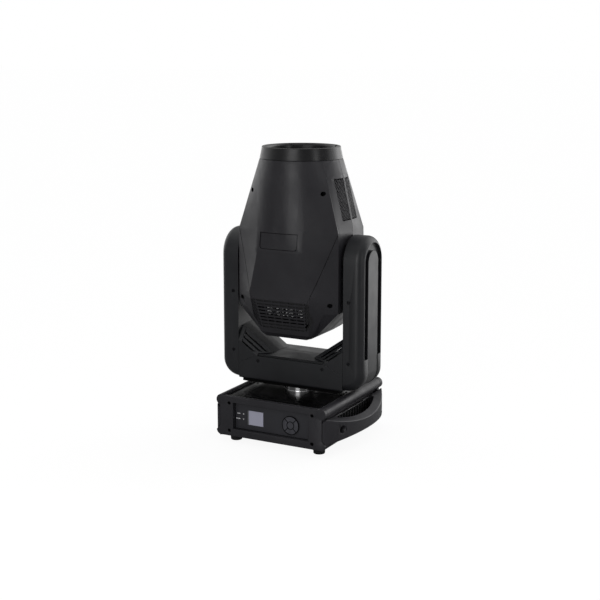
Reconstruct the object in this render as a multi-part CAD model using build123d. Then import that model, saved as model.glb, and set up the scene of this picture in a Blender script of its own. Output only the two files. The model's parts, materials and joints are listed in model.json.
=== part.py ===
from build123d import *
import os
from math import atan2, cos, hypot, pi, radians, sin, sqrt

# Moving head light, in millimetres. +Z is up and the origin is on the floor, on the pan axis.
# The front, with the display and keys, faces -Y. At rest the head points straight up.

# Fits and clearances
seam = 0.3                   # gap along a seam between two mouldings, and under a seated piece
run_fit = 0.05               # radial clearance of a shaft in its bearing or bush
key_gap = 0.4                # gap round each key
wall = 3.0                   # wall of the moulded covers

# Base
base_depth = 305.0           # over the faces of the front and rear frames
frame_thick = 11.5
frame_half_width = 131.7     # between the corner bumps
frame_bottom = 17.5
frame_top = 111.0
bump_radius = 12.8
bump_x = 128.0
bump_low_z = 29.8
bump_high_z = 100.7
window_half_width = 97.0
window_bottom = 34.5
window_top = 97.0
frame_screw_x = 107.0
frame_screw_inset_z = 15.7   # from the frame's edges to its screws
screw_recess_radius = 4.0
screw_head_radius = 3.2
plate_top = 108.2            # upper face of the glossy top plate
plate_thick = 2.5
rail_inner_x = 123.0
rail_web = 3.0
tray_thick = 3.0
foot_radius = 14.5
foot_x = 108.0
foot_y = 118.0
handle_reach = 180.0         # outermost x of a handle, at mid length
handle_end_x = 137.8         # outermost x of a handle at the frame faces
handle_bar = 20.0            # thickness of the grip bar
handle_gap_x = 134.0         # inner wall of the finger opening
handle_gap_share = 0.37      # depth of the finger opening at its ends, against its depth at mid length
handle_low = 29.0
handle_high = 91.0
handle_bevel = 11.0          # height of the slanted ends' bevels
handle_mid_low = 40.0        # underside of the grip at mid length
handle_mid_high = 66.0       # outer rim of the grip at mid length
handle_slope = 0.3           # rise of the grip's top towards the base
handle_screw_y = 104.0
handle_screw_z = 58.5
handle_screw_radius = 8.5
handle_recess_x = 142.0      # bottom of the screw recesses
handle_head_x = 147.0        # top of the screws in them
bracket_x = 140.0            # spacing of the bracket sockets
bracket_y = 106.0
socket_radius = 5.0
socket_depth = 14.0
boss_radius = 10.0
supply_height = 42.0
supply_plan = (12.0, 112.0, -108.0, 42.0)     # of the power supply, in x and y
supply_slots = 8
supply_post = 4.0
board_height = 15.0          # of the main board above the tray
board_plan = (-112.0, -16.0, -108.0, 42.0)
board_thick = 1.6
board_post = 3.0

# Control panel
panel_half_width = 104.0
panel_bottom = 28.0
panel_top = 103.0
panel_thick = 2.5
display_x = -45.0
display_width = 43.0
display_bottom = 47.0
display_top = 80.5
keypad_x = 47.9
keypad_z = 61.8
keypad_radius = 20.5
enter_radius = 8.5
key_proud = 2.2              # keys stand this far out of the panel
key_travel = 1.2
key_flange = 1.4
socket_row_z = 64.0          # height of the sockets on the rear panel
socket_wall = 3.0
socket_flange = 2.5
socket_bore_depth = 14.0
socket_body_depth = 20.0
rear_panel_thick = 1.6
fuse_x = 56.0
fuse_radius = 7.0

# Pan drive
ring_radius = 39.0
ring_wall = 5.0
spindle_radius = 24.0
spindle_bore = 17.0
spindle_flange_radius = 56.0
spindle_flange = 6.0
bearing_wall = 12.0
bearing_height = 14.0
pulley_radius = 40.0
pulley_width = 9.0
pinion_radius = 8.0
belt_thick = 1.5
motor_size = 42.0
motor_length = 34.0
motor_shaft_radius = 2.5
pan_motor_x = -86.0

# Yoke
yoke_bottom = 130.0
yoke_half_depth = 58.8
arm_inner_x = 136.0
arm_outer_x = 184.0
arm_corner = 42.0            # radius of the arm's lower outer corner
arm_edge = 19.0              # radius of the arm's outer edges
tilt_z = 423.5
crossbar_top = 196.0         # flat strip along the middle of the crossbar's top
crossbar_eave = 193.2        # the top slopes down to this height at its front and rear edges
crossbar_strip = 11.6        # half depth of the flat strip
crossbar_edge = 4.0
reveal_low = 187.0           # dark groove under the eave
reveal_high = 191.6
reveal_depth = 5.0
reveal_half_width = 86.0
moat_half_width = 44.0
moat_depth = 8.0
moat_bottom = 205.0
plate_half_width = 26.0
ramp_slope = 0.7             # the corner vents rise this steeply towards the arms
ramp_toe_x = 47.0
ramp_toe_z = 193.0
ramp_half_depth = 36.0       # of the ramp's top
ramp_fall = 1.5              # from the ramp's middle strip to its front and rear edges
facet_drop = 33.4            # height of the slotted facets below the ramp's edges
facet_depth = yoke_half_depth - seam - ramp_half_depth
lobe_floor = 170.1           # lowest edge of the corner piece, let into the crossbar
lobe_back = 30.0             # the lobes reach in to this far from the middle
slot_width = 3.2
slot_low_z = 197.6
slot_high_x = 127.5
slot_drops = (10.7, 19.8, 29.6)   # height of the slots below the ramp's edge
slot_hook = 5.0
frame_plate = 4.0
frame_arm_half = 40.0
arm_screw_x = 149.5
arm_screw_high = 337.0
arm_screw_low = 196.0
cover_screw_x = 84.0
cover_screw_z = 175.5
tilt_motor_drop = 130.0      # the tilt motor's axis lies this far below the tilt axis

# Head
nose_top = 677.5
nose_height = 27.5           # of the nose ring above its seam with the covers
nose_seam = nose_top - nose_height
nose_radius = 90.0
nose_seam_radius = 95.5
nose_bore = 80.0
nose_tube_wall = 3.0
nose_bevel = 5.0
nose_tube_bottom = nose_top - 71.0
lens_seat = nose_top - 51.5
lens_thick = 14.0


def above(share):
    """Height in the head's upper part, as a share of the way from the tilt axis to the nose seam."""
    return tilt_z + share * (nose_seam - seam - tilt_z)


trunnion_radius = 25.0
trunnion_bore = 17.0
trunnion_flange = 38.0
chassis_x = 112.0
chassis_plate = 4.0
chassis_half_depth = 50.0
chassis_bottom = 351.0
chassis_top = 500.0
engine_plate_z = 351.0
effects_plate_z = 372.0
lens_plate_z = 455.0
bulkhead = 3.0
optic_radius = 46.0
rod_x = 88.0
rod_radius = 3.0
carriage_thick = 6.0
focus_z = lens_plate_z + bulkhead + 12.0
zoom_z = above(0.537)
wheel_radius = 56.0
wheel_offset = 40.0
wheel_thick = 2.0
wheel_window = 13.0
sink_half = 48.0
sink_half_depth = 80.0       # the fins reach close behind the front and rear grilles
sink_bottom = 272.0
sink_top = 334.5
fin_thick = 2.0
fin_pitch = 8.0
fan_half = 30.0
fan_depth = 18.0
fan_radius = 26.0
fan_hub = 10.0
fan_z = 302.0
vent_inner_y = 4.0
vent_outer_y = 36.0
vent_low = above(0.409)
vent_high = above(0.82)
vent_thick = 1.2
grille_low = 268.0
grille_high = 332.0
grille_half_width = 61.0     # to the bends of the top row
grille_rows = 9
grille_cells = 6
grille_rib = 2.4
grille_slot = 3.2
grille_narrowing = 0.1       # the bottom row is this much narrower than the top one
grille_low_leg = (21.0, 25.0)   # run and rise of the bottom row's slanted ends
grille_high_leg = (11.0, 7.5)   # the same of the top row's
crease_z = above(0.1083)     # the front panel is creased across here
label_half = 47.0            # recess for a label on the shield
label_low = above(0.1305)
label_high = above(0.294)
label_depth = 0.8
shield_low = 335.0
shield_chin = 350.0

# Front corner points of the head's section, from the nose seam down to the bottom. Each row is a
# height, the half depth on the centre line, the panel edge, the shoulder edge and the side ridge.
head_levels = [
    (nose_seam - seam, 95.5, (62.0, 72.6), (80.7, 51.0), 95.5),
    (vent_high, 101.0, (67.0, 78.0), (92.6, 54.9), 108.0),
    (above(0.727), 103.5, (69.6, 80.7), (98.8, 56.8), 112.6),
    (above(0.3735), 110.5, (59.5, 99.5), (122.0, 64.4), 130.0),
    (above(0.2984), 111.5, (57.4, 103.5), (127.0, 66.0), 131.0),
    (crease_z, 113.6, (52.0, 113.6), (128.0, 66.0), 131.0),
    (350.0, 107.0, (77.0, 107.0), (128.0, 66.0), 131.0),
    (335.0, 107.0, (75.0, 107.0), (128.0, 66.0), 131.0),
    (310.0, 100.0, (73.0, 99.5), (127.0, 65.0), 130.0),
    (254.7, 83.0, (62.0, 82.0), (73.4, 64.0), 75.0),
    (244.0, 74.0, (52.0, 73.5), (56.6, 56.0), 57.0),
]
shoulder_x = 127.0
shoulder_z = above(0.2984)
shield_screw = (89.8, -64.0, above(0.686))
shell_screw = (112.6, -78.0, 330.0)
cover_hole_radius = 5.0

half_depth = base_depth / 2
panel_face = half_depth - frame_thick
inner_half_depth = panel_face - seam


# ---- small builders

def block(x0, x1, y0, y1, z0, z1):
    """Box between two corners."""
    return Pos((x0 + x1) / 2, (y0 + y1) / 2, (z0 + z1) / 2) * Box(x1 - x0, y1 - y0, z1 - z0)


def upright(radius, z0, z1, x=0.0, y=0.0):
    """Cylinder along Z."""
    return Pos(x, y, (z0 + z1) / 2) * Cylinder(radius, z1 - z0)


def along_x(radius, x0, x1, y=0.0, z=0.0):
    """Cylinder along X."""
    return Pos((x0 + x1) / 2, y, z) * Rot(0, 90, 0) * Cylinder(radius, x1 - x0)


def along_y(radius, y0, y1, x=0.0, z=0.0):
    """Cylinder along Y."""
    return Pos(x, (y0 + y1) / 2, z) * Rot(90, 0, 0) * Cylinder(radius, y1 - y0)


def prism_y(points, y0, y1):
    """Outline in X and Z, carried from y0 to y1."""
    wire = Polyline(*[(x, y0, z) for x, z in points], close=True)
    return extrude(make_face(wire), amount=y1 - y0, dir=(0, 1, 0))


def prism_z(points, z0, z1):
    """Outline in X and Y, carried from z0 to z1."""
    wire = Polyline(*[(x, y, z0) for x, y in points], close=True)
    return extrude(make_face(wire), amount=z1 - z0, dir=(0, 0, 1))


def prism_x(points, x0, x1, slope=0.0):
    """Outline in Y and Z, carried from x0 to x1, rising with the slope."""
    wire = Polyline(*[(x0, y, z) for y, z in points], close=True)
    run = x1 - x0
    return extrude(make_face(wire), amount=run * hypot(1, slope), dir=(1, 0, slope))


def mirrored(shape, plane=Plane.YZ):
    """The same piece on the other side."""
    return mirror(shape, about=plane)


def turned(shape):
    """The same piece at the rear, turned half round the pan axis."""
    return Rot(0, 0, 180) * shape


def pair(shape, plane=Plane.YZ):
    """A piece and its mirror image, as separate solids."""
    return list(shape.solids()) + list(mirrored(shape, plane).solids())


def save(name, shape):
    """Write one node."""
    solids = shape if isinstance(shape, list) else list(shape.solids())
    node = solids[0] if len(solids) == 1 else Compound(children=[Solid(s.wrapped) for s in solids])
    export_step(node, f"parts/{name}.step")
    print(f"{name:24s} {len(solids):3d} solids")


def cut_all(shape, tools):
    """Subtract a list of tools in turn."""
    for tool in tools:
        shape = shape - tool
    return shape


# ---- base

def handle_section(grow):
    """Section of a side handle's moulding in X and Z, with slanted upper and lower inner edges."""
    inner_x = rail_inner_x + rail_web + seam - grow
    step_x = frame_half_width + seam - grow
    bevel_x = frame_half_width + seam + handle_bevel * 0.85
    far_x = handle_reach + 1
    low, high = handle_low - grow, handle_high + grow
    return [(inner_x, low + handle_bevel), (step_x, low + handle_bevel), (bevel_x, low), (far_x, low),
            (far_x, high), (bevel_x, high), (step_x, high - handle_bevel), (inner_x, high - handle_bevel)]


def frame_outline():
    """Frame blank: a plate with a round bump at each corner, cut back for the side handles."""
    y0, y1 = -half_depth, -panel_face
    blank = block(-frame_half_width, frame_half_width, y0, y1, frame_bottom, frame_top)
    for x in (-bump_x, bump_x):
        for z in (bump_low_z, bump_high_z):
            blank = blank + along_y(bump_radius, y0, y1, x, z)
    beside = block(frame_half_width, handle_reach, y0, y1, 0, nose_top)
    cut = prism_y(handle_section(seam), y0, y1) & beside
    return cut_all(blank, [cut, mirrored(cut)])


def frame_screw_places():
    low = bump_low_z
    high = frame_top - frame_screw_inset_z - seam
    return [(x, z) for x in (-frame_screw_x, frame_screw_x) for z in (low, high)]


def front_frame():
    """Frame round the control panel."""
    shape = frame_outline()
    window = block(-window_half_width, window_half_width, -half_depth, -panel_face,
                   window_bottom, window_top)
    shape = shape - window
    for x, z in frame_screw_places():
        shape = shape - along_y(screw_recess_radius, -half_depth, -half_depth + 7.0, x, z)
        shape = shape - along_y(screw_head_radius * 0.6, -half_depth, -panel_face, x, z)
    return shape


def frame_screws():
    """Socket screws at the bottom of the frame recesses, front and rear."""
    screws = []
    for x, z in frame_screw_places():
        head = along_y(screw_head_radius, -half_depth + 3.0, -half_depth + 6.7, x, z)
        stem = along_y(screw_head_radius * 0.6 - seam, -half_depth + 6.7, -panel_face, x, z)
        socket = along_y(screw_head_radius * 0.45, -half_depth + 3.0, -half_depth + 5.0, x, z)
        screws.extend(pair(head + stem - socket, Plane.XZ))
    return screws


def side_rail():
    """Right-hand rail: two round edges joined by a web, between the frames."""
    y0, y1 = -inner_half_depth, inner_half_depth
    edges = along_y(bump_radius, y0, y1, bump_x, bump_low_z) + along_y(bump_radius, y0, y1, bump_x, bump_high_z)
    edges = edges & block(rail_inner_x, bump_x + bump_radius, y0, y1, 0, nose_top)
    edges = edges - prism_y(handle_section(seam), y0, y1)
    web = block(rail_inner_x, rail_inner_x + rail_web, y0, y1, bump_low_z, bump_high_z)
    return edges + web


def arc_plan(reach, end_x, end_y, inner_x, z0, z1):
    """Plan shape between x = inner_x and a long arc, carried from z0 to z1."""
    arc = ThreePointArc((end_x, -end_y, z0), (reach, 0, z0), (end_x, end_y, z0))
    sides = Polyline((end_x, end_y, z0), (inner_x, end_y, z0), (inner_x, -end_y, z0), (end_x, -end_y, z0))
    return extrude(make_face(arc + sides), amount=z1 - z0, dir=(0, 0, 1))


def handle_arc_radius():
    sag = handle_reach - handle_end_x
    return ((half_depth + seam) ** 2 + sag ** 2) / (2 * sag)


def side_handle():
    """Right-hand side moulding with its grip bar and finger opening."""
    end_y = half_depth + seam
    inner_x = rail_inner_x + rail_web + seam
    outer = arc_plan(handle_reach, handle_end_x, end_y, inner_x, handle_low, handle_high)
    shape = outer & prism_y(handle_section(0.0), -end_y, end_y)
    step_x = frame_half_width + seam
    # the grip's top falls away from the base and dips towards mid length
    rise = (handle_high - handle_mid_high) - handle_slope * (handle_reach - handle_end_x)
    radius_top = (end_y ** 2 + rise ** 2) / (2 * rise)
    top_cut = along_x(radius_top, 0, 160, 0, radius_top)
    top_cut = Pos(handle_reach, 0, handle_mid_high) * Rot(0, 180 / pi * atan2(handle_slope, 1), 0) \
        * (Pos(-110, 0, 0) * top_cut)
    shape = shape - top_cut
    dip = handle_mid_low - handle_low
    radius_low = (end_y ** 2 + dip ** 2) / (2 * dip)
    shape = shape - along_x(radius_low, step_x + handle_bevel, handle_reach + 10, 0,
                            handle_mid_low - radius_low)
    # finger opening, right through from top to bottom
    centre_x = handle_reach - handle_arc_radius()
    reach = handle_reach - handle_bar
    inner_radius = reach - centre_x
    gap_end_x = handle_gap_x + handle_gap_share * (reach - handle_gap_x)
    gap_half = sqrt(inner_radius ** 2 - (gap_end_x - centre_x) ** 2)
    gap = arc_plan(reach, gap_end_x, gap_half, handle_gap_x, handle_low - 1, handle_high + 1)
    shape = shape - gap
    # room for the frames' faces
    for y0, y1 in ((-end_y - 1, -inner_half_depth), (inner_half_depth, end_y + 1)):
        shape = shape - block(0, step_x, y0, y1, 0, nose_top)
    for y in (-handle_screw_y, handle_screw_y):
        shape = shape - along_x(handle_screw_radius, handle_recess_x, handle_reach, y, handle_screw_z)
        shape = shape - along_x(screw_head_radius, inner_x - 1, handle_recess_x, y, handle_screw_z)
    return shape


def handle_screws():
    """Screws at the bottom of the handles' recesses."""
    screws = []
    inner_x = rail_inner_x + rail_web + seam
    for y in (-handle_screw_y, handle_screw_y):
        head = along_x(handle_screw_radius - 2.5, handle_recess_x + seam, handle_head_x, y, handle_screw_z)
        stem = along_x(screw_head_radius - seam, inner_x, handle_recess_x + seam, y, handle_screw_z)
        socket = along_x(2.5, handle_head_x - 3, handle_head_x, y, handle_screw_z)
        screws.extend(pair(head + stem - socket))
    return screws


def top_plate():
    """Glossy plate on top of the base, with the pan spindle's hole."""
    half = rail_inner_x - seam
    shape = block(-half, half, -inner_half_depth, inner_half_depth, plate_top - plate_thick, plate_top)
    return shape - upright(spindle_radius + 4 + seam, plate_top - plate_thick, plate_top)


def bracket_places():
    return [(x * bracket_x / 2, y * bracket_y / 2) for x in (-1, 1) for y in (-1, 1)]


def bottom_tray():
    """Tray under the base, with threaded sockets for the hanging brackets."""
    half = rail_inner_x - seam
    shape = block(-half, half, -inner_half_depth, inner_half_depth, frame_bottom, frame_bottom + tray_thick)
    for x, y in bracket_places():
        shape = shape + upright(boss_radius, frame_bottom, frame_bottom + socket_depth, x, y)
    for x, y in bracket_places():
        shape = shape - upright(socket_radius, frame_bottom, frame_bottom + socket_depth, x, y)
    return shape


def feet():
    """Four rubber feet."""
    top = frame_bottom - seam
    foot = Pos(foot_x, foot_y, top / 2) * Cone(foot_radius - 1.5, foot_radius, top)
    return [part for solid in pair(foot) for part in (solid, mirrored(solid, Plane.XZ).solids()[0])]


def control_panel():
    """Panel behind the front window, with its display opening and keypad hole."""
    y0, y1 = -panel_face + seam, -panel_face + seam + panel_thick
    shape = block(-panel_half_width, panel_half_width, y0, y1, panel_bottom, panel_top)
    half = display_width / 2 + seam
    shape = shape - block(display_x - half, display_x + half, y0, y1, display_bottom - seam,
                          display_top + seam)
    return shape - along_y(keypad_radius + key_gap, y0, y1, keypad_x, keypad_z)


def display_window():
    """Glass of the colour display."""
    face = -panel_face + seam
    half = display_width / 2
    return block(display_x - half, display_x + half, face - 0.2, face + panel_thick,
                 display_bottom, display_top)


def key_back():
    return -panel_face + seam + panel_thick + key_flange


def arrow_key(turn):
    """One quarter of the keypad ring, turned to its place."""
    face = -panel_face + seam - key_proud
    ring = along_y(keypad_radius, face, key_back()) - along_y(enter_radius + key_gap, face, key_back())
    cut = block(-2 * keypad_radius, 2 * keypad_radius, face, key_back(), -2 * keypad_radius, key_gap / 2)
    quarter = cut_all(ring, [Rot(0, 45, 0) * cut, Rot(0, -45, 0) * cut])
    return Pos(keypad_x, 0, keypad_z) * Rot(0, turn, 0) * quarter


def enter_key():
    """Round centre key."""
    face = -panel_face + seam - key_proud
    return along_y(enter_radius, face, key_back(), keypad_x, keypad_z)


def keypad_board():
    """Circuit board behind the keypad, on two posts from the panel."""
    y0 = key_back() + key_travel + seam
    half = keypad_radius + 9.0
    board = block(keypad_x - half, keypad_x + half, y0, y0 + board_thick, keypad_z - half, keypad_z + half)
    for x in (-half + 4, half - 4):
        for z in (-half + 4, half - 4):
            post = along_y(3.0, -panel_face + 2 * seam + panel_thick, y0, keypad_x + x, keypad_z + z)
            board = board + post
    return board


def socket_places():
    """Centre x and body radius of each round socket on the rear panel."""
    return [(-78.0, 14.0), (-44.0, 14.0), (-8.0, 12.0), (22.0, 12.0)]


def rear_sockets():
    """Mains inlet and outlet and two signal sockets, with the fuse holder beside them."""
    face = panel_face + rear_panel_thick + seam
    sockets = []
    for x, radius in socket_places():
        flange = along_y(radius + socket_wall, face, face + socket_flange, x, socket_row_z)
        body = along_y(radius - seam, face - socket_body_depth, face, x, socket_row_z)
        bore = along_y(radius - socket_wall, face + socket_flange - socket_bore_depth, face + socket_flange,
                       x, socket_row_z)
        sockets.append((flange + body - bore).solids()[0])
    fuse = along_y(fuse_radius + socket_wall, face, face + socket_flange, fuse_x, socket_row_z)
    fuse = fuse + along_y(fuse_radius - seam, face - socket_body_depth, face + 2 * socket_flange, fuse_x,
                          socket_row_z)
    slot = block(fuse_x - 1, fuse_x + 1, face + socket_flange, face + 2 * socket_flange,
                 socket_row_z - fuse_radius, socket_row_z + fuse_radius)
    return sockets + [(fuse - slot).solids()[0]]


def rear_frame():
    """Rear frame, closed by its connector panel."""
    shape = mirrored(front_frame(), Plane.XZ)
    shape = shape + block(-window_half_width, window_half_width, panel_face,
                          panel_face + rear_panel_thick, window_bottom, window_top)
    for x, radius in socket_places() + [(fuse_x, fuse_radius)]:
        shape = shape - along_y(radius, panel_face, panel_face + rear_panel_thick, x, socket_row_z)
    return shape


def posts(plan, inset, radius, z0, z1):
    """Upright posts near the corners of a plan."""
    x0, x1, y0, y1 = plan
    places = [(x, y) for x in (x0 + inset, x1 - inset) for y in (y0 + inset, y1 - inset)]
    return [upright(radius, z0, z1, x, y) for x, y in places]


def power_supply():
    """Power supply on the tray, with slots in its lid."""
    z0 = frame_bottom + socket_depth + seam
    z1 = z0 + supply_height
    x0, x1, y0, y1 = supply_plan
    case = block(x0, x1, y0, y1, z0, z1)
    pitch = (x1 - x0) / (supply_slots + 2)
    for i in range(supply_slots):
        x = x0 + pitch * (i + 1.2)
        case = case - block(x, x + 0.4 * pitch, y0 + 12, y1 - 12, z1 - 2, z1)
    for post in posts(supply_plan, 2 * supply_post, supply_post, frame_bottom + tray_thick + seam, z0):
        case = case + post
    return case


def main_board():
    """Main circuit board on four posts, with its processor and a connector strip."""
    z0 = frame_bottom + tray_thick + seam
    z1 = z0 + board_height
    x0, x1, y0, y1 = board_plan
    top = z1 + board_thick
    board = block(x0, x1, y0, y1, z1, top)
    for post in posts(board_plan, board_post + 1, board_post, z0, z1):
        board = board + post
    board = board + block(x0 + 22, x0 + 52, y0 + 38, y0 + 68, top, top + 3.5)
    return board + block(x1 - 34, x1 - 14, y0 + 18, y1 - 22, top, top + 11.5)


# ---- pan drive

def pan_ring():
    """Bright ring between the top plate and the yoke."""
    tube = upright(ring_radius, plate_top + seam, yoke_bottom - 2 * seam)
    return tube - upright(ring_radius - ring_wall, plate_top, yoke_bottom)


def pan_pulley_z():
    return crossbar_top - wall - 4.0 - pulley_width


def pan_spindle():
    """Hollow spindle fixed to the base, with the fixed pan pulley at its top."""
    flange_top = plate_top - plate_thick - seam
    shape = upright(spindle_flange_radius, flange_top - spindle_flange, flange_top)
    shape = shape + upright(spindle_radius + 4, flange_top, bearing_seat_z() - seam)
    shape = shape + upright(spindle_radius, flange_top, pan_pulley_z() + pulley_width)
    shape = shape + upright(pulley_radius, pan_pulley_z(), pan_pulley_z() + pulley_width)
    return shape - upright(spindle_bore, 0, crossbar_top)


def bearing_seat_z():
    return yoke_bottom + wall + seam + frame_plate


def pan_bearing():
    """Pan bearing, held in the yoke frame's hub."""
    z0 = bearing_seat_z()
    ring = upright(spindle_radius + bearing_wall, z0, z0 + bearing_height)
    return ring - upright(spindle_radius + run_fit, z0, z0 + bearing_height)


def stepper(length, boss=1.0):
    """Stepper motor with its face at z = 0 and its body below."""
    body = Pos(0, 0, -length / 2) * Box(motor_size, motor_size, length)
    body = chamfer(body.edges().filter_by(Axis.Z), 4.0)
    body = body + upright(11.0, 0, boss)
    return body - upright(motor_shaft_radius + run_fit, -length + 4, boss)


def pinion(length):
    """Toothed pinion and shaft, with the pinion from z = 0 to the pulley's width."""
    shape = upright(pinion_radius, 0, pulley_width)
    for i in range(16):
        angle = 2 * pi * i / 16
        shape = shape - upright(0.8, 0, pulley_width, pinion_radius * cos(angle), pinion_radius * sin(angle))
    return shape + upright(motor_shaft_radius, -length, 0)


def belt(distance):
    """Belt loop round a pulley at the origin and a pinion at x = distance."""
    inner_big, inner_small = pulley_radius + seam, pinion_radius + seam

    def loop(grow):
        big, small = inner_big + grow, inner_small + grow
        tilt = (big - small) / distance
        rise = sqrt(1 - tilt ** 2)
        points = [(big * tilt, big * rise), (distance + small * tilt, small * rise),
                  (distance + small * tilt, -small * rise), (big * tilt, -big * rise)]
        bridge = prism_z(points, 0.5, pulley_width - 0.5)
        ends = upright(big, 0.5, pulley_width - 0.5) + upright(small, 0.5, pulley_width - 0.5, distance)
        return bridge + ends

    return loop(belt_thick) - loop(0.0)


def pan_motor():
    return Pos(pan_motor_x, 0, pan_pulley_z() - 2.5) * stepper(motor_length)


def pan_pinion():
    return Pos(pan_motor_x, 0, pan_pulley_z()) * pinion(18.0)


# ---- yoke

def arm_form(inset):
    """Outer form of the right arm, drawn in by an inset; its inner wall by no more than one wall."""
    half = yoke_half_depth - inset
    x0, x1 = arm_inner_x + min(inset, wall), arm_outer_x - inset
    bottom = yoke_bottom + inset
    profile = block(x0, x1, -half, half, bottom, tilt_z) + along_x(half, x0, x1, 0, tilt_z)
    corner = profile.edges().filter_by(Axis.Y).group_by(Axis.Z)[0].sort_by(Axis.X)[-1]
    profile = fillet(corner, arm_corner - inset)
    sides = profile.faces().filter_by(Plane.XZ)
    rim = [edge for face in sides for edge in face.edges() if edge.center().X > x0 + 0.5]
    rim = [edge for edge in rim if edge.center().Z < tilt_z - 0.5]
    top = [edge for edge in profile.edges() if edge.center().Z > tilt_z and edge.center().X > x1 - 0.01]
    return fillet(rim + top, arm_edge - inset)


def moat(grow, x0, z_low):
    """Stadium recess in an arm's outer face."""
    half = moat_half_width + grow
    x1 = arm_outer_x + 1
    shape = block(x0, x1, -half, half, z_low, tilt_z) + along_x(half, x0, x1, 0, tilt_z)
    return shape


def band(half, x0):
    """Strip of an arm's outer side that the side plate fills, round-topped."""
    x1 = arm_outer_x + 1
    return block(x0, x1, -half, half, yoke_bottom - 1, tilt_z) + along_x(half, x0, x1, 0, tilt_z)


def arm_shell():
    """Right arm shell: hollow, with a recess for the side plate."""
    moat_x = arm_outer_x - moat_depth
    cavity = arm_form(wall)
    cavity = cavity - moat(wall, moat_x - wall, moat_bottom - wall)
    inner_band = band(plate_half_width + wall, moat_x - 30)
    cavity = cavity - (inner_band - arm_form(moat_depth + wall))
    shape = arm_form(0.0) - cavity
    shape = shape - moat(0.0, moat_x, moat_bottom)
    shape = shape - (band(plate_half_width + seam, moat_x - 30) - arm_form(moat_depth))
    shape = shape - along_x(trunnion_radius + bearing_wall / 2, arm_inner_x - 1, arm_inner_x + wall, 0, tilt_z)
    passage = block(arm_inner_x - 1, arm_inner_x + wall + 1, -frame_arm_half - 6, frame_arm_half + 6,
                    yoke_bottom + wall, crossbar_top - wall)
    shape = shape - passage
    for z in (arm_screw_low, arm_screw_high):
        for y0, y1 in ((-yoke_half_depth, -yoke_half_depth + 2), (yoke_half_depth - 2, yoke_half_depth)):
            shape = shape - along_y(screw_recess_radius, y0, y1, arm_screw_x, z)
    return shape


def arm_plate():
    """Side plate of the right arm, wrapping round its lower corner."""
    strip = band(plate_half_width, arm_outer_x - moat_depth - 30) & arm_form(1.0)
    return strip - arm_form(moat_depth - seam)


def crossbar_roof(grow):
    """Section under the crossbar's top surface, in Y and Z, from the front edge to the rear edge."""
    half, eave, top = yoke_half_depth + 1, crossbar_eave + grow, crossbar_top + grow
    return [(-half, yoke_bottom), (-half, eave), (-crossbar_strip, top), (crossbar_strip, top),
            (half, eave), (half, yoke_bottom)]


def crossbar_cover():
    """Front half of the crossbar's cover, with a dark groove under its eave."""
    half = arm_inner_x - seam
    y_mid = -seam / 2
    front = -yoke_half_depth
    shape = block(-half, half, front, y_mid, yoke_bottom, crossbar_top)
    edges = [e for e in shape.edges().filter_by(Axis.X) if e.center().Y < front + 0.1]
    shape = fillet(sorted(edges, key=lambda e: e.center().Z)[0], crossbar_edge)
    shape = shape & prism_x(crossbar_roof(0.0), -half, half)
    hollow = prism_x(crossbar_roof(-wall), -half, half)
    hollow = hollow & block(-half, half, front + wall, y_mid, yoke_bottom + wall, crossbar_top)
    hollow = hollow - block(-half, half, front, front + reveal_depth + wall, reveal_low - wall, crossbar_top)
    shape = shape - hollow
    shape = shape - block(-reveal_half_width, reveal_half_width, front, front + reveal_depth,
                          reveal_low, reveal_high)
    shape = shape - upright(spindle_radius + 4 + 4 * seam, yoke_bottom, yoke_bottom + wall)
    cut = lobe_prism(seam)
    shape = cut_all(shape, [cut, mirrored(cut)])
    for x in (-cover_screw_x, cover_screw_x):
        shape = shape - along_y(screw_recess_radius, front, front + 1.5, x, cover_screw_z)
    return shape


def lobe_outline(grow):
    """Outline of the corner piece where it is let into the crossbar, from its toe to the arm."""
    toe_x, floor = reveal_half_width, lobe_floor
    curve = [(toe_x, reveal_low), (toe_x + 7, reveal_low - 0.3), (toe_x + 12, reveal_low - 2.0),
             (toe_x + 19.6, reveal_low - 5.6), (toe_x + 39, floor + 1.4), (toe_x + 44, floor)]
    lowered = [(x - grow, z - grow) for x, z in curve]
    return lowered + [(arm_inner_x + 1, floor - grow), (arm_inner_x + 1, crossbar_top + 1),
                      (toe_x - grow, crossbar_top + 1)]


def ramp(inset, x1):
    """Ramp up to the right arm with slanted facets at front and rear, drawn in by an inset."""
    top = -1.2 * inset
    edge = ramp_half_depth - inset / 2
    side = ramp_half_depth + facet_depth - inset
    section = [(-side, -crossbar_top), (-side, -facet_drop - inset / 2), (-edge, top - ramp_fall),
               (-crossbar_strip, top), (crossbar_strip, top), (edge, top - ramp_fall),
               (side, -facet_drop - inset / 2), (side, -crossbar_top)]
    section = [(y, z + ramp_toe_z) for y, z in section]
    shape = prism_x(section, ramp_toe_x, x1, ramp_slope)
    return shape & block(0, x1, -side, side, lobe_floor + inset, nose_top)


def gusset():
    """Right corner piece: a lobe let into the crossbar and a slotted ramp up to the arm."""
    x1 = arm_inner_x - seam
    far = arm_inner_x + wall
    shape = ramp(0.0, x1) - (prism_x(crossbar_roof(seam), 0, far) - lobe_prism(0.0))
    hollow = ramp(wall, far) - (prism_x(crossbar_roof(wall), 0, far) - lobe_prism(-wall))
    shape = shape - hollow
    for drop in slot_drops:
        shape = shape - facet_slot(drop)
    return shape


def lobe_prism(grow):
    """The corner piece's room in the crossbar, at front and rear."""
    front = prism_y(lobe_outline(grow), -yoke_half_depth - 2, -lobe_back + grow)
    return front + mirrored(front, Plane.XZ)


def slot_corners(a, b, width):
    """Corners of a straight slot between two points in X and Z."""
    length = hypot(a[0] - b[0], a[1] - b[1])
    nx, nz = (b[1] - a[1]) / length * width / 2, (a[0] - b[0]) / length * width / 2
    return [(a[0] + nx, a[1] + nz), (b[0] + nx, b[1] + nz), (b[0] - nx, b[1] - nz), (a[0] - nx, a[1] - nz)]


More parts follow.
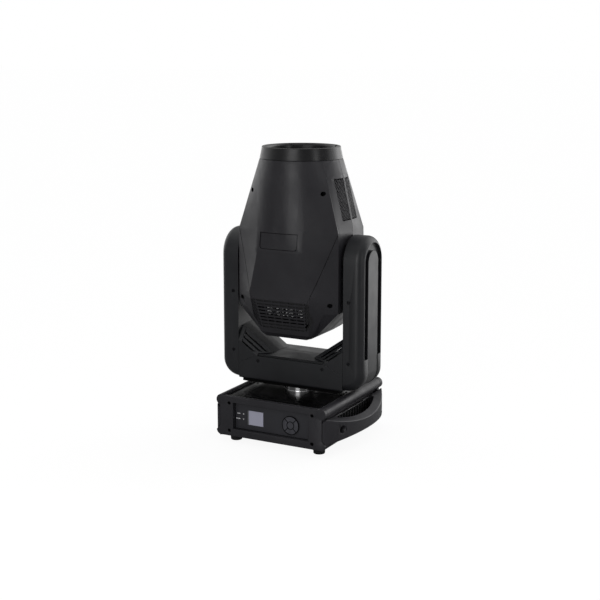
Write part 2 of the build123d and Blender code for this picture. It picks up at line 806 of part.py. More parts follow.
def facet_slot(drop):
    """Slot along the corner vent's front and rear facets, hooked at both ends."""
    level = ramp_toe_z - ramp_fall - drop
    low = (ramp_toe_x + (slot_low_z - level) / ramp_slope, slot_low_z)
    high = (slot_high_x, level + ramp_slope * (slot_high_x - ramp_toe_x))
    y = -ramp_half_depth - facet_depth * drop / facet_drop
    y0, y1 = y - wall, y + 2 * wall
    shape = prism_y(slot_corners(high, low, slot_width), y0, y1)
    shape = shape + prism_y(slot_corners(low, (low[0] - slot_hook, low[1]), 0.6 * slot_width), y0, y1)
    shape = shape + prism_y(slot_corners(high, (high[0], high[1] + slot_hook), 0.6 * slot_width), y0, y1)
    return shape + mirrored(shape, Plane.XZ)


def yoke_frame():
    """Load-bearing U frame inside the yoke, with its hub and bearing rings."""
    z0 = yoke_bottom + wall + seam
    x0 = arm_inner_x + wall + 2.0
    x1 = x0 + frame_plate
    shape = block(-x1, x1, -frame_arm_half, frame_arm_half, z0, z0 + frame_plate)
    hub_outer = spindle_radius + bearing_wall + 6.0
    shape = shape + upright(hub_outer, z0, z0 + frame_plate + bearing_height)
    shape = shape - upright(spindle_radius + bearing_wall + run_fit, z0 + frame_plate,
                            z0 + frame_plate + bearing_height)
    shape = shape - upright(spindle_radius + 4 + 4 * seam, z0, z0 + frame_plate)
    bearing_x = x1 + 8.0
    for side in (-1, 1):
        a, b = sorted((side * x0, side * x1))
        plate = block(a, b, -frame_arm_half, frame_arm_half, z0, tilt_z)
        plate = plate + along_x(frame_arm_half, a, b, 0, tilt_z)
        c, d = sorted((side * x0, side * bearing_x))
        plate = plate + along_x(frame_arm_half, c, d, 0, tilt_z)
        plate = plate - along_x(trunnion_radius + bearing_wall + run_fit, c - 1, d + 1, 0, tilt_z)
        shape = shape + plate
    return shape


def tilt_bearing():
    """Right tilt bearing, held in the yoke frame."""
    x0 = arm_inner_x + wall + 2.0
    ring = along_x(trunnion_radius + bearing_wall, x0, x0 + frame_plate + 8.0, 0, tilt_z)
    return ring - along_x(trunnion_radius + run_fit, x0 - 1, x0 + 30, 0, tilt_z)


def tilt_pulley_x():
    return arm_outer_x - moat_depth - wall - 1.5 - pulley_width


def to_tilt(shape):
    """Turn a drive piece drawn along +Z so that it lies along +X, at the tilt pulley's place."""
    return Pos(tilt_pulley_x(), 0, tilt_z) * Rot(0, 90, 0) * shape


def tilt_motor():
    face = 2.0
    length = tilt_pulley_x() - face - (arm_inner_x + wall + 2.0 + frame_plate + seam)
    return to_tilt(Pos(tilt_motor_drop, 0, -face) * stepper(length, boss=0.8))


def tilt_pinion():
    return to_tilt(Pos(tilt_motor_drop, 0, 0) * pinion(12.0))


def yoke_screws():
    """Screw heads in the arms and the crossbar covers, front and rear."""
    screws = []
    face = -yoke_half_depth
    places = [(arm_screw_x, arm_screw_low, 1.7), (arm_screw_x, arm_screw_high, 1.7),
              (cover_screw_x, cover_screw_z, 1.2)]
    for x, z, depth in places:
        head = along_y(screw_head_radius, face + 0.2, face + depth, x, z)
        head = head - along_y(screw_head_radius * 0.45, face + 0.2, face + depth - 0.5, x, z)
        for solid in pair(head):
            screws.extend(pair(solid, Plane.XZ))
    return screws


# ---- head

def head_ring(level, inset):
    """Points of one section of the head, all round, drawn in by an inset."""
    z, front, edge, shoulder, ridge = level
    keys = [(0.0, front), edge, shoulder, (ridge, 0.0)]
    round_part = min(1.0, max(0.0, (z - above(0.338)) / (nose_seam - above(0.338))))
    quarter = []
    for index, steps in enumerate((3, 2, 2)):
        (xa, ya), (xb, yb) = keys[index], keys[index + 1]
        weight = 1.0 if index == 0 and z > crease_z + 1 else round_part
        for step in range(steps):
            t = step / steps
            chord = (xa + (xb - xa) * t, ya + (yb - ya) * t)
            radius = hypot(xa, ya) * (1 - t) + hypot(xb, yb) * t
            angle = atan2(ya, xa) * (1 - t) + atan2(yb, xb) * t
            arc = (radius * cos(angle), radius * sin(angle))
            quarter.append((chord[0] + (arc[0] - chord[0]) * weight,
                            chord[1] + (arc[1] - chord[1]) * weight))
    quarter.append((ridge, 0.0))
    shrink_x, shrink_y = 1 - inset / ridge, 1 - inset / front
    quarter = [(x * shrink_x, y * shrink_y) for x, y in quarter]
    front_right = [(x, -y) for x, y in quarter]
    back_right = [(x, y) for x, y in reversed(quarter[:-1])]
    right = front_right + back_right
    left = [(-x, y) for x, y in reversed(right[1:-1])]
    return [(x, y, z) for x, y in right + left]


def head_form(inset):
    """Closed faceted body of the head below the nose ring."""
    rings = [head_ring(level, inset) for level in head_levels]
    rings[-1] = [(x, y, z + inset) for x, y, z in rings[-1]]
    if inset > 0:
        rings[0] = [(x, y, z + 1.0) for x, y, z in rings[0]]
    faces = [Face(Wire.make_polygon(rings[0])), Face(Wire.make_polygon(rings[-1]))]
    count = len(rings[0])
    for upper, lower in zip(rings, rings[1:]):
        for i in range(count):
            j = (i + 1) % count
            faces.append(Face(Wire.make_polygon([upper[i], upper[j], lower[j]])))
            faces.append(Face(Wire.make_polygon([upper[i], lower[j], lower[i]])))
    return Solid(Shell(faces))


def shield_outline(grow):
    """Front outline of the shield, in X and Z."""
    top_x = 80.7
    return [(top_x + grow, nose_seam + 1), (shoulder_x + grow, shoulder_z), (77.0 + grow, shield_chin),
            (70.0, shield_low - grow), (-70.0, shield_low - grow), (-77.0 - grow, shield_chin),
            (-shoulder_x - grow, shoulder_z), (-top_x - grow, nose_seam + 1)]


def grille_slots():
    """Slot rows below the shield, split by ribs."""
    slots = []
    for row in range(grille_rows):
        up = row / (grille_rows - 1)
        z = grille_low + (grille_high - grille_low) * up
        half = grille_half_width * (1 - grille_narrowing * (1 - up))
        width = 2 * half / grille_cells
        for cell in range(grille_cells):
            x0 = -half + cell * width
            slots.append(block(x0 + grille_rib / 2, x0 + width - grille_rib / 2, -125, -50,
                               z - grille_slot / 2, z + grille_slot / 2))
        run, rise = [low + (high - low) * up for low, high in zip(grille_low_leg, grille_high_leg)]
        corners = slot_corners((half + grille_rib, z), (half + run, z + rise), grille_slot)
        leg = prism_y(corners, -125, -50)
        slots.extend([leg, mirrored(leg)])
    return slots


def vent_window(grow):
    """Openings of the two vents beside the right ridge."""
    windows = []
    for y0, y1 in ((-vent_outer_y, -vent_inner_y), (vent_inner_y, vent_outer_y)):
        windows.append(block(80, 150, y0 - grow, y1 + grow, vent_low - grow, vent_high + grow))
    return windows


def head_skin():
    """The head's covers before they are parted."""
    return head_form(0.0) - head_form(wall)


def body_shell(skin):
    """Front body shell with its grille, vent openings and trunnion notches."""
    shape = skin & block(-200, 200, -200, -seam / 2, 200, 700)
    shape = shape - prism_y(shield_outline(seam), -200, -30)
    for window in vent_window(0.0):
        shape = cut_all(shape, [window, mirrored(window)])
    hole = along_x(trunnion_radius + seam, 100, 150, 0, tilt_z)
    shape = cut_all(shape, [hole, mirrored(hole)])
    shape = cut_all(shape, grille_slots())
    x, _, z = shell_screw
    for side in (-x, x):
        shape = shape - along_y(cover_hole_radius, -120, -60, side, z)
    return shape


def shield(skin):
    """Front shield with its label recess and two deep screw holes."""
    shape = skin & prism_y(shield_outline(0.0), -200, -30)
    recess = head_form(0.0) - head_form(label_depth)
    shape = shape - (recess & block(-label_half, label_half, -200, -30, label_low, label_high))
    x, _, z = shield_screw
    for side in (-x, x):
        shape = shape - along_y(cover_hole_radius, -100, -50, side, z)
    return shape


def head_screws():
    """Screws at the bottom of the deep holes, on posts, front and rear."""
    screws = []
    for x, y, z in (shield_screw, shell_screw):
        head = along_y(screw_head_radius + 1.2, y - 1, y + 3.0, x, z)
        for solid in pair(head):
            screws.extend(pair(solid, Plane.XZ))
    return screws


def vent_mesh():
    """Perforated vent panels beside the right ridge."""
    band_form = head_form(wall * 0.5) - head_form(wall * 0.5 + vent_thick)
    panels = []
    for window in vent_window(-seam):
        panel = band_form & window
        panels.append(panel.solids().sort_by(SortBy.VOLUME)[-1])
    return panels


def nose_ring():
    """Round nose with its bevelled rim, lens tube and rear flange."""
    tube = nose_bore + nose_tube_wall
    points = [(nose_bore, lens_seat), (nose_bore, nose_top - nose_bevel), (nose_bore + nose_bevel, nose_top),
              (nose_radius, nose_top), (nose_seam_radius, nose_seam), (nose_seam_radius - wall, nose_seam),
              (tube + 2, nose_seam + 8), (tube, nose_seam + 6), (tube, nose_tube_bottom + 5),
              (rod_x + 8, nose_tube_bottom + 5), (rod_x + 8, nose_tube_bottom), (nose_bore - 8, nose_tube_bottom),
              (nose_bore - 8, lens_seat)]
    face = make_face(Polyline(*[(x, 0, z) for x, z in points], close=True))
    ring = revolve(face, Axis.Z, 360)
    for i in range(4):
        angle = radians(45 + 90 * i)
        x, y = cos(angle), sin(angle)
        notch = Pos((nose_bore + 2) * x, (nose_bore + 2) * y, nose_top - 1) * Rot(0, 0, 45 + 90 * i) * Box(7, 7, 5)
        ring = ring - notch
    return ring


def lens(radius, thick, crown):
    """Lens with a crowned front, standing on z = 0."""
    curve = (radius ** 2 + crown ** 2) / (2 * crown)
    blank = upright(radius, 0, thick)
    return blank & (Pos(0, 0, thick - curve) * Sphere(curve))


def front_lens():
    return Pos(0, 0, lens_seat + seam) * lens(nose_bore - seam, lens_thick, 9.0)


def head_chassis():
    """Side plates and bulkheads that carry the optics."""
    shape = None
    half = chassis_half_depth
    for z in (engine_plate_z, effects_plate_z, lens_plate_z):
        sheet = block(-chassis_x, chassis_x, -half, half, z, z + bulkhead)
        sheet = sheet - upright(optic_radius - 12, z, z + bulkhead)
        shape = sheet if shape is None else shape + sheet
    for side in (-1, 1):
        a, b = sorted((side * chassis_x, side * (chassis_x + chassis_plate)))
        shape = shape + block(a, b, -half, half, chassis_bottom, chassis_top)
        shape = shape - along_x(trunnion_bore, a - 1, b + 1, 0, tilt_z)
    for y in (-wheel_offset, wheel_offset):
        shape = shape - upright(motor_shaft_radius + 1, effects_plate_z, effects_plate_z + bulkhead, 0, y)
    return shape


def guide_rods():
    """Two rods that the lens carriages run on."""
    z0 = lens_plate_z + bulkhead + seam
    return pair(upright(rod_radius, z0, nose_tube_bottom - seam, rod_x))


def carriage(z):
    """Lens carriage with a bush for each guide rod."""
    shape = upright(optic_radius + 8, z, z + carriage_thick)
    shape = shape + block(-rod_x, rod_x, -9, 9, z, z + carriage_thick)
    for x in (-rod_x, rod_x):
        shape = shape + upright(8, z, z + 2 * carriage_thick, x)
    shape = shape - upright(optic_radius, z + 1.5, z + carriage_thick)
    shape = shape - upright(optic_radius - 3, z, z + 2)
    for x in (-rod_x, rod_x):
        shape = shape - upright(rod_radius + run_fit, z, z + 2 * carriage_thick, x)
    return shape


def carriage_lens(z):
    """Lens seated in a carriage."""
    return Pos(0, 0, z + 1.5 + seam) * lens(optic_radius - seam, 9.0, 5.0)


def wheel(z, y, shaft_up):
    """Filter wheel with seven windows, and its shaft."""
    shape = upright(wheel_radius, z, z + wheel_thick, 0, y)
    for i in range(7):
        angle = 2 * pi * i / 7 - pi / 2 * (1 if y > 0 else -1)
        shape = shape - upright(wheel_window, z, z + wheel_thick, wheel_offset * cos(angle),
                                y + wheel_offset * sin(angle))
    reach = 18.0 if shaft_up else -16.0
    return shape + upright(motor_shaft_radius, *sorted((z + wheel_thick / 2, z + reach)), 0, y)


def wheel_motors():
    """The wheels' motors on the effects bulkhead, and the two lens motors."""
    top = effects_plate_z + bulkhead + seam
    low = effects_plate_z - seam
    bore = motor_shaft_radius + run_fit
    tall = low - engine_plate_z - bulkhead - 2 * seam
    deep = tall - 2.0
    colour = upright(15, top, top + tall, 0, wheel_offset) - upright(bore, top, top + deep, 0, wheel_offset)
    gobo = upright(15, low - tall, low, 0, -wheel_offset) - upright(bore, low - deep, low, 0, -wheel_offset)
    seat = lens_plate_z - seam
    drives = [block(x - 14, x + 14, -14, 14, seat - 24, seat) for x in (-80, 80)]
    return [part.solids()[0] for part in [colour, gobo] + drives]


def led_engine():
    """LED board and light collector between the heat sink and the chassis."""
    z0 = sink_top + seam
    board = block(-40, 40, -40, 40, z0, engine_plate_z - seam)
    collector = Pos(0, 0, engine_plate_z + 4) * Cone(28, 20, 10)
    shape = board + upright(28, z0, engine_plate_z) + collector
    return shape


def heat_sink():
    """Finned block; the fins run from front to rear."""
    shape = block(-sink_half, sink_half, -sink_half_depth, sink_half_depth, sink_top - 6, sink_top)
    count = int((2 * sink_half - fin_thick) // fin_pitch)
    for i in range(count + 1):
        x = (i - count / 2) * fin_pitch
        shape = shape + block(x - fin_thick / 2, x + fin_thick / 2, -sink_half_depth, sink_half_depth,
                              sink_bottom, sink_top - 5)
    return shape


def fan_frame():
    """Right fan housing, with its hub seat."""
    x0 = sink_half + seam
    shape = block(x0, x0 + fan_depth, -fan_half, fan_half, fan_z - fan_half, fan_z + fan_half)
    shape = shape - along_x(fan_radius + 1, x0 + 2.5, x0 + fan_depth, 0, fan_z)
    holes = along_x(fan_radius + 1, x0, x0 + 3, 0, fan_z) - along_x(fan_hub, x0, x0 + 3, 0, fan_z)
    for turn in (0, 60, 120):
        spoke = Rot(turn, 0, 0) * Box(2 * fan_depth, 3.0, 2 * fan_half)
        holes = holes - Pos(x0, 0, fan_z) * spoke
    shape = shape - holes
    return shape - along_x(motor_shaft_radius + run_fit, x0, x0 + 3, 0, fan_z)


def fan_rotor():
    """Right fan rotor with five blades and its shaft."""
    x0 = sink_half + seam + 2.5 + seam
    x1 = x0 + 12.0
    shape = along_x(fan_hub, x0, x1, 0, fan_z)
    blade = Pos(0, 0, (fan_hub + fan_radius) / 2) * Rot(0, 0, 35) * Box(14.0, 1.8, fan_radius - fan_hub + 1)
    blade = blade & block(-6.0, 6.0, -20, 20, 0, fan_radius)
    for i in range(5):
        shape = shape + Pos((x0 + x1) / 2, 0, fan_z) * Rot(72 * i, 0, 0) * blade
    return shape + along_x(motor_shaft_radius, x0 - 2.4, x0, 0, fan_z)


def trunnion():
    """Right hollow trunnion, with its flange against the chassis."""
    x0 = chassis_x + chassis_plate + seam
    flange = along_x(trunnion_flange, x0, x0 + 4, 0, tilt_z)
    shaft = along_x(trunnion_radius, x0, tilt_pulley_x() + pulley_width, 0, tilt_z)
    return flange + shaft - along_x(trunnion_bore, x0 - 1, arm_outer_x, 0, tilt_z)


def tilt_pulley():
    """Tilt pulley on the right trunnion."""
    disc = upright(pulley_radius, 0, pulley_width) - upright(trunnion_radius + run_fit, 0, pulley_width)
    return to_tilt(disc)


def build():
    """Make every node and write it."""
    os.makedirs("parts", exist_ok=True)
    save("front_frame", front_frame())
    save("rear_frame", rear_frame())
    save("side_rails", pair(side_rail()))
    save("side_handle_right", side_handle())
    save("side_handle_left", mirrored(side_handle()))
    save("top_plate", top_plate())
    save("bottom_tray", bottom_tray())
    save("feet", feet())
    save("base_screws", frame_screws() + handle_screws())
    save("control_panel", control_panel())
    save("display_window", display_window())
    for name, turn in (("key_up", 0), ("key_right", 90), ("key_down", 180), ("key_left", -90)):
        save(name, arrow_key(turn))
    save("key_enter", enter_key())
    save("keypad_board", keypad_board())
    save("rear_sockets", rear_sockets())
    save("power_supply", power_supply())
    save("main_board", main_board())
    save("pan_ring", pan_ring())
    save("pan_spindle", pan_spindle())
    save("pan_bearing", pan_bearing())
    save("drive_motors", [pan_motor().solids()[0], tilt_motor().solids()[0]])
    save("pan_pinion", pan_pinion())
    save("tilt_pinion", tilt_pinion())
    pan_belt = Pos(0, 0, pan_pulley_z()) * Rot(0, 0, 180) * belt(-pan_motor_x)
    tilt_belt = to_tilt(belt(tilt_motor_drop))
    save("drive_belts", [pan_belt.solids()[0], tilt_belt.solids()[0]])
    save("yoke_frame", yoke_frame())
    save("crossbar_front_cover", crossbar_cover())
    save("crossbar_rear_cover", turned(crossbar_cover()))
    save("gusset_vents", pair(gusset()))
    shell = arm_shell()
    save("arm_shell_right", shell)
    save("arm_shell_left", mirrored(shell))
    save("arm_plates", pair(arm_plate()))
    save("tilt_bearings", pair(tilt_bearing()))
    save("yoke_screws", yoke_screws())
    skin = head_skin()
    front = body_shell(skin)
    save("head_shell_front", front)
    save("head_shell_rear", turned(front))
    front_shield = shield(skin)
    save("front_shield", front_shield)
    save("rear_shield", turned(front_shield))
    meshes = vent_mesh()
    save("vent_meshes", meshes + [mirrored(mesh).solids()[0] for mesh in meshes])
    save("nose_ring", nose_ring())
    save("front_lens", front_lens())
    save("head_screws", head_screws())
    save("head_chassis", head_chassis())
    save("guide_rods", guide_rods())
    save("focus_carriage", carriage(focus_z))
    save("focus_lens", carriage_lens(focus_z))
    save("zoom_carriage", carriage(zoom_z))
    save("zoom_lens", carriage_lens(zoom_z))
    save("colour_wheel", wheel(effects_plate_z - 6, wheel_offset, True))
    save("gobo_wheel", wheel(effects_plate_z + bulkhead + 4, -wheel_offset, False))
    save("wheel_motors", wheel_motors())
    save("led_engine", led_engine())
    save("heat_sink", heat_sink())
    save("fan_frames", pair(fan_frame()))
    rotor = fan_rotor()
    save("fan_rotor_right", rotor)
    save("fan_rotor_left", mirrored(rotor))
    save("trunnions", pair(trunnion()))
    save("tilt_pulley", tilt_pulley())


build()
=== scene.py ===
"""Finishes a packed moving head light: covers, vents, keys, lenses, materials and a plain studio."""

import json
from itertools import product
from math import atan2, cos, hypot, pi, radians, sin

import bmesh
import bpy
from bpy.props import FloatProperty, FloatVectorProperty, IntProperty, PointerProperty
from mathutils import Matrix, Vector
from mathutils.bvhtree import BVHTree


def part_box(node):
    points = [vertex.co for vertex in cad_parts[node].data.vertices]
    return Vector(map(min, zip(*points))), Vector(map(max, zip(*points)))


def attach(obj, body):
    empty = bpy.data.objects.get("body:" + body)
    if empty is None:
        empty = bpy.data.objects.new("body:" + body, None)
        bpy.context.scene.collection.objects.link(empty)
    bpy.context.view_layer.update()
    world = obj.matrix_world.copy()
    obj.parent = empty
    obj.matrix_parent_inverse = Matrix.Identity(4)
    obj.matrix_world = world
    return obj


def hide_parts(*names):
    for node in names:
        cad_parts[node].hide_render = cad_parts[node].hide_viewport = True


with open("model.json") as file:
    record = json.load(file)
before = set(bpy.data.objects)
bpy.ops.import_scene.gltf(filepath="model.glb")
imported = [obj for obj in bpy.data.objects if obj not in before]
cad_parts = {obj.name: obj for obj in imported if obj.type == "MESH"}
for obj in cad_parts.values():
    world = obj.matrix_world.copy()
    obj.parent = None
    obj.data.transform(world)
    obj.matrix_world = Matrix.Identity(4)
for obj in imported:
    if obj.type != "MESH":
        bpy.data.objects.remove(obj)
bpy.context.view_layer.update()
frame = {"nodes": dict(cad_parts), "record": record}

bl_info = {
    "name": "Moving Head Light",
    "version": (1, 0, 0),
    "blender": (4, 5, 0),
    "location": "3D View > Sidebar > Moving Head",
    "description": "Finishes a moving head light round its packed frame",
    "category": "Add Mesh",
}

BODY_OF = {node: body for body, nodes in frame["record"]["behaviour"]["bodies"].items() for node in nodes}


# ---- sizes and colours that a user would change

def length(name, description, default, low, high):
    return FloatProperty(name=name, description=description, default=default, min=low, max=high,
                         unit="LENGTH")


def colour(name, description, default):
    return FloatVectorProperty(name=name, description=description, default=default, subtype="COLOR",
                               size=3, min=0, max=1)


class LightSizes(bpy.types.PropertyGroup):
    """Sizes of the finishing detail."""

    edge_round: length("Edge round", "Round on the edges of the large mouldings", 0.0009, 0.0001, 0.004)
    fine_round: length("Fine round", "Round on the edges of thin and small pieces", 0.0004, 0.0001, 0.002)
    round_steps: IntProperty(
        name="Round steps", description="Faces across each rounded edge", default=2, min=1, max=4)
    screw_radius: length("Screw radius", "Radius of a cover screw's head", 0.0032, 0.001, 0.01)
    vent_cell: length("Vent cell", "Width of one diamond opening in the side vents", 0.0062, 0.002, 0.02)
    vent_bar: length("Vent bar", "Width of the bars between the diamond openings", 0.0012, 0.0005, 0.005)


class LightColours(bpy.types.PropertyGroup):
    """Colours of the finishes."""

    housing: colour("Housing", "Satin black of the base and head mouldings", (0.023, 0.0222, 0.0265))
    arms: colour("Arms", "Satin black of the yoke mouldings", (0.016, 0.0168, 0.0193))
    display: colour("Display", "Unlit display behind its glass", (0.52, 0.52, 0.64))
    legend: colour("Legend", "Printed marks on the front panel", (0.92, 0.92, 0.94))


class StudioSettings(bpy.types.PropertyGroup):
    """Camera and lights."""

    azimuth: FloatProperty(
        name="Azimuth", description="Turn of the camera from the front", subtype="ANGLE",
        default=radians(28.014))
    elevation: FloatProperty(
        name="Elevation", description="Height of the camera above the level", subtype="ANGLE",
        default=radians(10.012))
    distance: FloatProperty(
        name="Distance", description="From the camera to the point it looks at", unit="LENGTH",
        default=2.8)
    lens: FloatProperty(
        name="Lens", description="Focal length in millimetres", default=72.54)
    shift: FloatProperty(
        name="Shift", description="Vertical shift of the lens, as a share of the picture", default=-0.06)
    level: FloatProperty(
        name="Light level", description="Strength of the surrounding light", default=1.15)
    floor_tone: FloatProperty(
        name="Floor tone", description="How much light the floor throws back up", default=0.30, min=0, max=1)


# ---- places of the finishing detail, in metres

# widths of the near-black bars of painted shade in the keypad grooves, the head's seams and the panel's
# outline
GROOVE_WIDTH, SEAM_WIDTH, OUTLINE_WIDTH = 0.0016, 0.0009, 0.0012
GROOVE_BEHIND, SEAM_SUNK, LATTICE_SUNK = 0.0003, 0.00035, 0.0012   # below the surface they lie in
KEYPAD_CENTRE = (0.0479, 0.0618)             # X and Z
KEYPAD_GROOVES = (0.0209, 0.0088)            # radii of the outer and the inner groove
KEY_SPLIT = (0.0092, 0.0205)                 # radii between which the outer keys are split
MARKS = {"upper": (0.0705, -0.0915, 3), "lower": (0.0585, -0.0945, 5)}   # Z, left end, parts
MARKS_RIGHT, MARK_HALF, MARK_FILL = -0.0835, 0.0011, 0.72   # right end, half height, share of a step
MARK_FACES = (0.00015, 0.0004)               # before and behind the panel's face
LAMP = (0.0007, 0.0014, -0.0751)             # inner and outer radius, and X
PANEL_WINDOW = (0.0966, 0.0349, 0.0966)      # half width, bottom and top
DISPLAY_EDGE = (0.0022, 0.0001, 0.0004)      # width, and reach before and behind the display's face
KEY_ROUND = 0.0006
HANDLE_WALL = 0.13405                        # inner wall of the finger openings
# the liner is painted shade on the inner wall of the finger openings
HANDLE_SHADE_LINER = (0.092, 0.041, 0.078)         # half length, bottom and top
HANDLE_DEPTHS = (0.0005, 0.0018)             # how far the liner and the ribs stand out from the wall
HANDLE_RIBS = (13, 0.014, 0.001, 0.001)      # count, pitch, half width, and gap above and below
PLATE_SCREWS = (0.111, 0.014, 0.0003, 0.8)   # X and Y on both sides, lift and scale
SCREW_HEIGHT, SCREW_SOCKET = 0.0024, 0.0016  # height of a head and radius of its hexagon
SCREWS = {                                   # finish and depth
    "base_screws": ("screw", 0.0), "yoke_screws": ("screw_plain", 0.0), "head_screws": ("screw", 0.0012)}
SIDEWAYS_SUNK = 0.0045                       # depth of the screws that face sideways
WASHER = (0.0002, 0.0024, 0.0002, 0.0012)    # inside and outside past the ring, below and above the plate
# the skirt is painted shade under the crossbar, above the top plate
SKIRT = (0.126, 0.056, 0.1235, 0.1308)       # half width, half depth, bottom and top
SKIRT_WALL = 0.002
VENT_WINDOW = (0.0045, 0.0355, 0.5165, 0.6085)   # nearest and farthest Y, bottom and top
VENT_BACKING = (0.0002, 0.0016)              # round on its edges, and shift inwards
LABEL_RECESS = (0.4532, 0.4896, 0.0468, 0.007)   # bottom, top, half width and corner radius
SHIELD_SEAM = ((0.1262, 0.4885), (0.0775, 0.3515))
GRILLE_LOW, GRILLE_PITCH, GRILLE_ROWS = 0.268, 0.008, 8
GRILLE_HALF = (0.0549, 0.0610)               # half width of the lowest and the highest row
GRILLE_OPEN_ROWS = (4, 5, 6)
BLADE = (0.0034, 0.0045, 0.0009)             # depth below the skin, reach inwards and thickness
SHEET_THICKNESS = 0.0006
GRILLE_SHEETS = {                            # finish, depth, limits along X and Z
    "grille_floors": ("frame", 0.0022, (
        (-0.066, 0.066, 0.2640, 0.2800), (-0.062, 0.062, 0.3200, 0.3360),
        (-0.0775, -0.0605, 0.2640, 0.3420), (0.0605, 0.0775, 0.2640, 0.3420))),
    # deep near-black sheets behind the open rows: painted shade in the slots
    "grille_shades": ("painted_shade", 0.0033, ((-0.059, 0.059, 0.2805, 0.2960),)),
}


# ---- small tools

def sizes():
    return bpy.context.scene.light_sizes


def colours():
    return bpy.context.scene.light_colours


def link(obj):
    bpy.context.scene.collection.objects.link(obj)
    return obj


def from_bmesh(name, bm):
    """New object from a bmesh, which is freed."""
    mesh = bpy.data.meshes.new(name)
    bm.to_mesh(mesh)
    bm.free()
    return link(bpy.data.objects.new(name, mesh))


def joined_copy(node):
    """Bmesh of a CAD node with its loose triangles joined and its flat faces made whole."""
    bm = bmesh.new()
    bm.from_mesh(frame["nodes"][node].data)
    bmesh.ops.remove_doubles(bm, verts=bm.verts, dist=0.000004)
    bmesh.ops.dissolve_degenerate(bm, dist=0.000002, edges=bm.edges)
    bmesh.ops.dissolve_limit(bm, angle_limit=radians(0.4), verts=bm.verts, edges=bm.edges)
    for layer in list(bm.loops.layers.uv):
        bm.loops.layers.uv.remove(layer)
    return bm


def round_edges(obj, width, angle=32.0, steps=None):
    """Bevel on the edges that turn more than an angle, with the flats kept flat in shading."""
    bevel = obj.modifiers.new("Edge round", "BEVEL")
    bevel.width = width
    bevel.segments = steps or sizes().round_steps
    bevel.limit_method = "ANGLE"
    bevel.angle_limit = radians(angle)
    bevel.use_clamp_overlap = False
    bevel.harden_normals = True
    bevel.miter_outer = "MITER_ARC"


def finish_piece(obj, node, finish, replaced=(), smooth=True):
    """Material, body and stand-in of a finished piece."""
    body = BODY_OF[node]
    obj.data.materials.clear()
    obj.data.materials.append(FINISHES[finish])
    for face in obj.data.polygons:
        face.material_index = 0
        face.use_smooth = smooth
    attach(obj, body)
    if replaced:
        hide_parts(*replaced)


def softened(node, name, finish, width, angle=32.0, sharp=40.0, steps=None):
    """A node's shape with rounded edges, in place of the node."""
    obj = from_bmesh(name, joined_copy(node))
    finish_piece(obj, node, finish, (node,))
    obj.data.set_sharp_from_angle(angle=radians(sharp))
    round_edges(obj, width, angle, steps)
    return obj


def carried(finish, *nodes):
    """CAD nodes that keep their own shape and take a finish."""
    for node in nodes:
        mesh = frame["nodes"][node].data
        mesh.materials.clear()
        mesh.materials.append(FINISHES[finish])


def block_piece(name, node, finish, *boxes):
    """One piece of closed boxes, each given by its limits along X, Y and Z in metres."""
    bm = bmesh.new()
    for x0, x1, y0, y1, z0, z1 in boxes:
        made = bmesh.ops.create_cube(bm, size=1.0)["verts"]
        bmesh.ops.scale(bm, vec=(x1 - x0, y1 - y0, z1 - z0), verts=made)
        bmesh.ops.translate(bm, vec=((x0 + x1) / 2, (y0 + y1) / 2, (z0 + z1) / 2), verts=made)
    finish_piece(from_bmesh(name, bm), node, finish, smooth=False)


def tube_piece(name, node, finish, inner, outer, low, high, centre=(0.0, 0.0), upright=True):
    """Closed flat ring, upright on Z or facing along Y, between two radii and two levels."""
    bm, count, rings = bmesh.new(), 64, []
    for radius, level in ((outer, low), (outer, high), (inner, high), (inner, low)):
        ring = []
        for i in range(count):
            turn = 2 * pi * i / count
            a, b = centre[0] + radius * cos(turn), centre[1] + radius * sin(turn)
            ring.append(bm.verts.new((a, b, level) if upright else (a, level, b)))
        rings.append(ring)
    for first, second in zip(rings, rings[1:] + rings[:1]):
        for i in range(count):
            j = (i + 1) % count
            bm.faces.new((first[i], first[j], second[j], second[i]))
    bmesh.ops.recalc_face_normals(bm, faces=bm.faces)
    obj = from_bmesh(name, bm)
    finish_piece(obj, node, finish)
    obj.data.set_sharp_from_angle(angle=radians(40.0))


# ---- the head's skin

# Sections of the head in millimetres: height, front, panel edge, shoulder edge and side ridge.
HEAD_LEVELS = (
    (649.7, 95.5, (62.0, 72.6), (80.7, 51.0), 95.5),
    (609.0, 101.0, (67.0, 78.0), (92.6, 54.9), 108.0),
    (587.95, 103.5, (69.6, 80.7), (98.8, 56.8), 112.6),
    (508.0, 110.5, (59.5, 99.5), (122.0, 64.4), 130.0),
    (491.0, 111.5, (57.4, 103.5), (127.0, 66.0), 131.0),
    (448.0, 113.6, (52.0, 113.6), (128.0, 66.0), 131.0),
    (350.0, 107.0, (77.0, 107.0), (128.0, 66.0), 131.0),
    (335.0, 107.0, (75.0, 107.0), (128.0, 66.0), 131.0),
    (310.0, 100.0, (73.0, 99.5), (127.0, 65.0), 130.0),
    (254.7, 83.0, (62.0, 82.0), (73.4, 64.0), 75.0),
    (244.0, 74.0, (52.0, 73.5), (56.6, 56.0), 57.0),
)
ROUND_FROM, CREASE = 499.95, 448.0   # where the sections start to round, and the crease across the front
CURVED_LEVELS = 4                    # levels above this count are joined by a smooth curve
EASED_FROM, EASED_TO = 0.3351, 0.6495


SKINS = {}


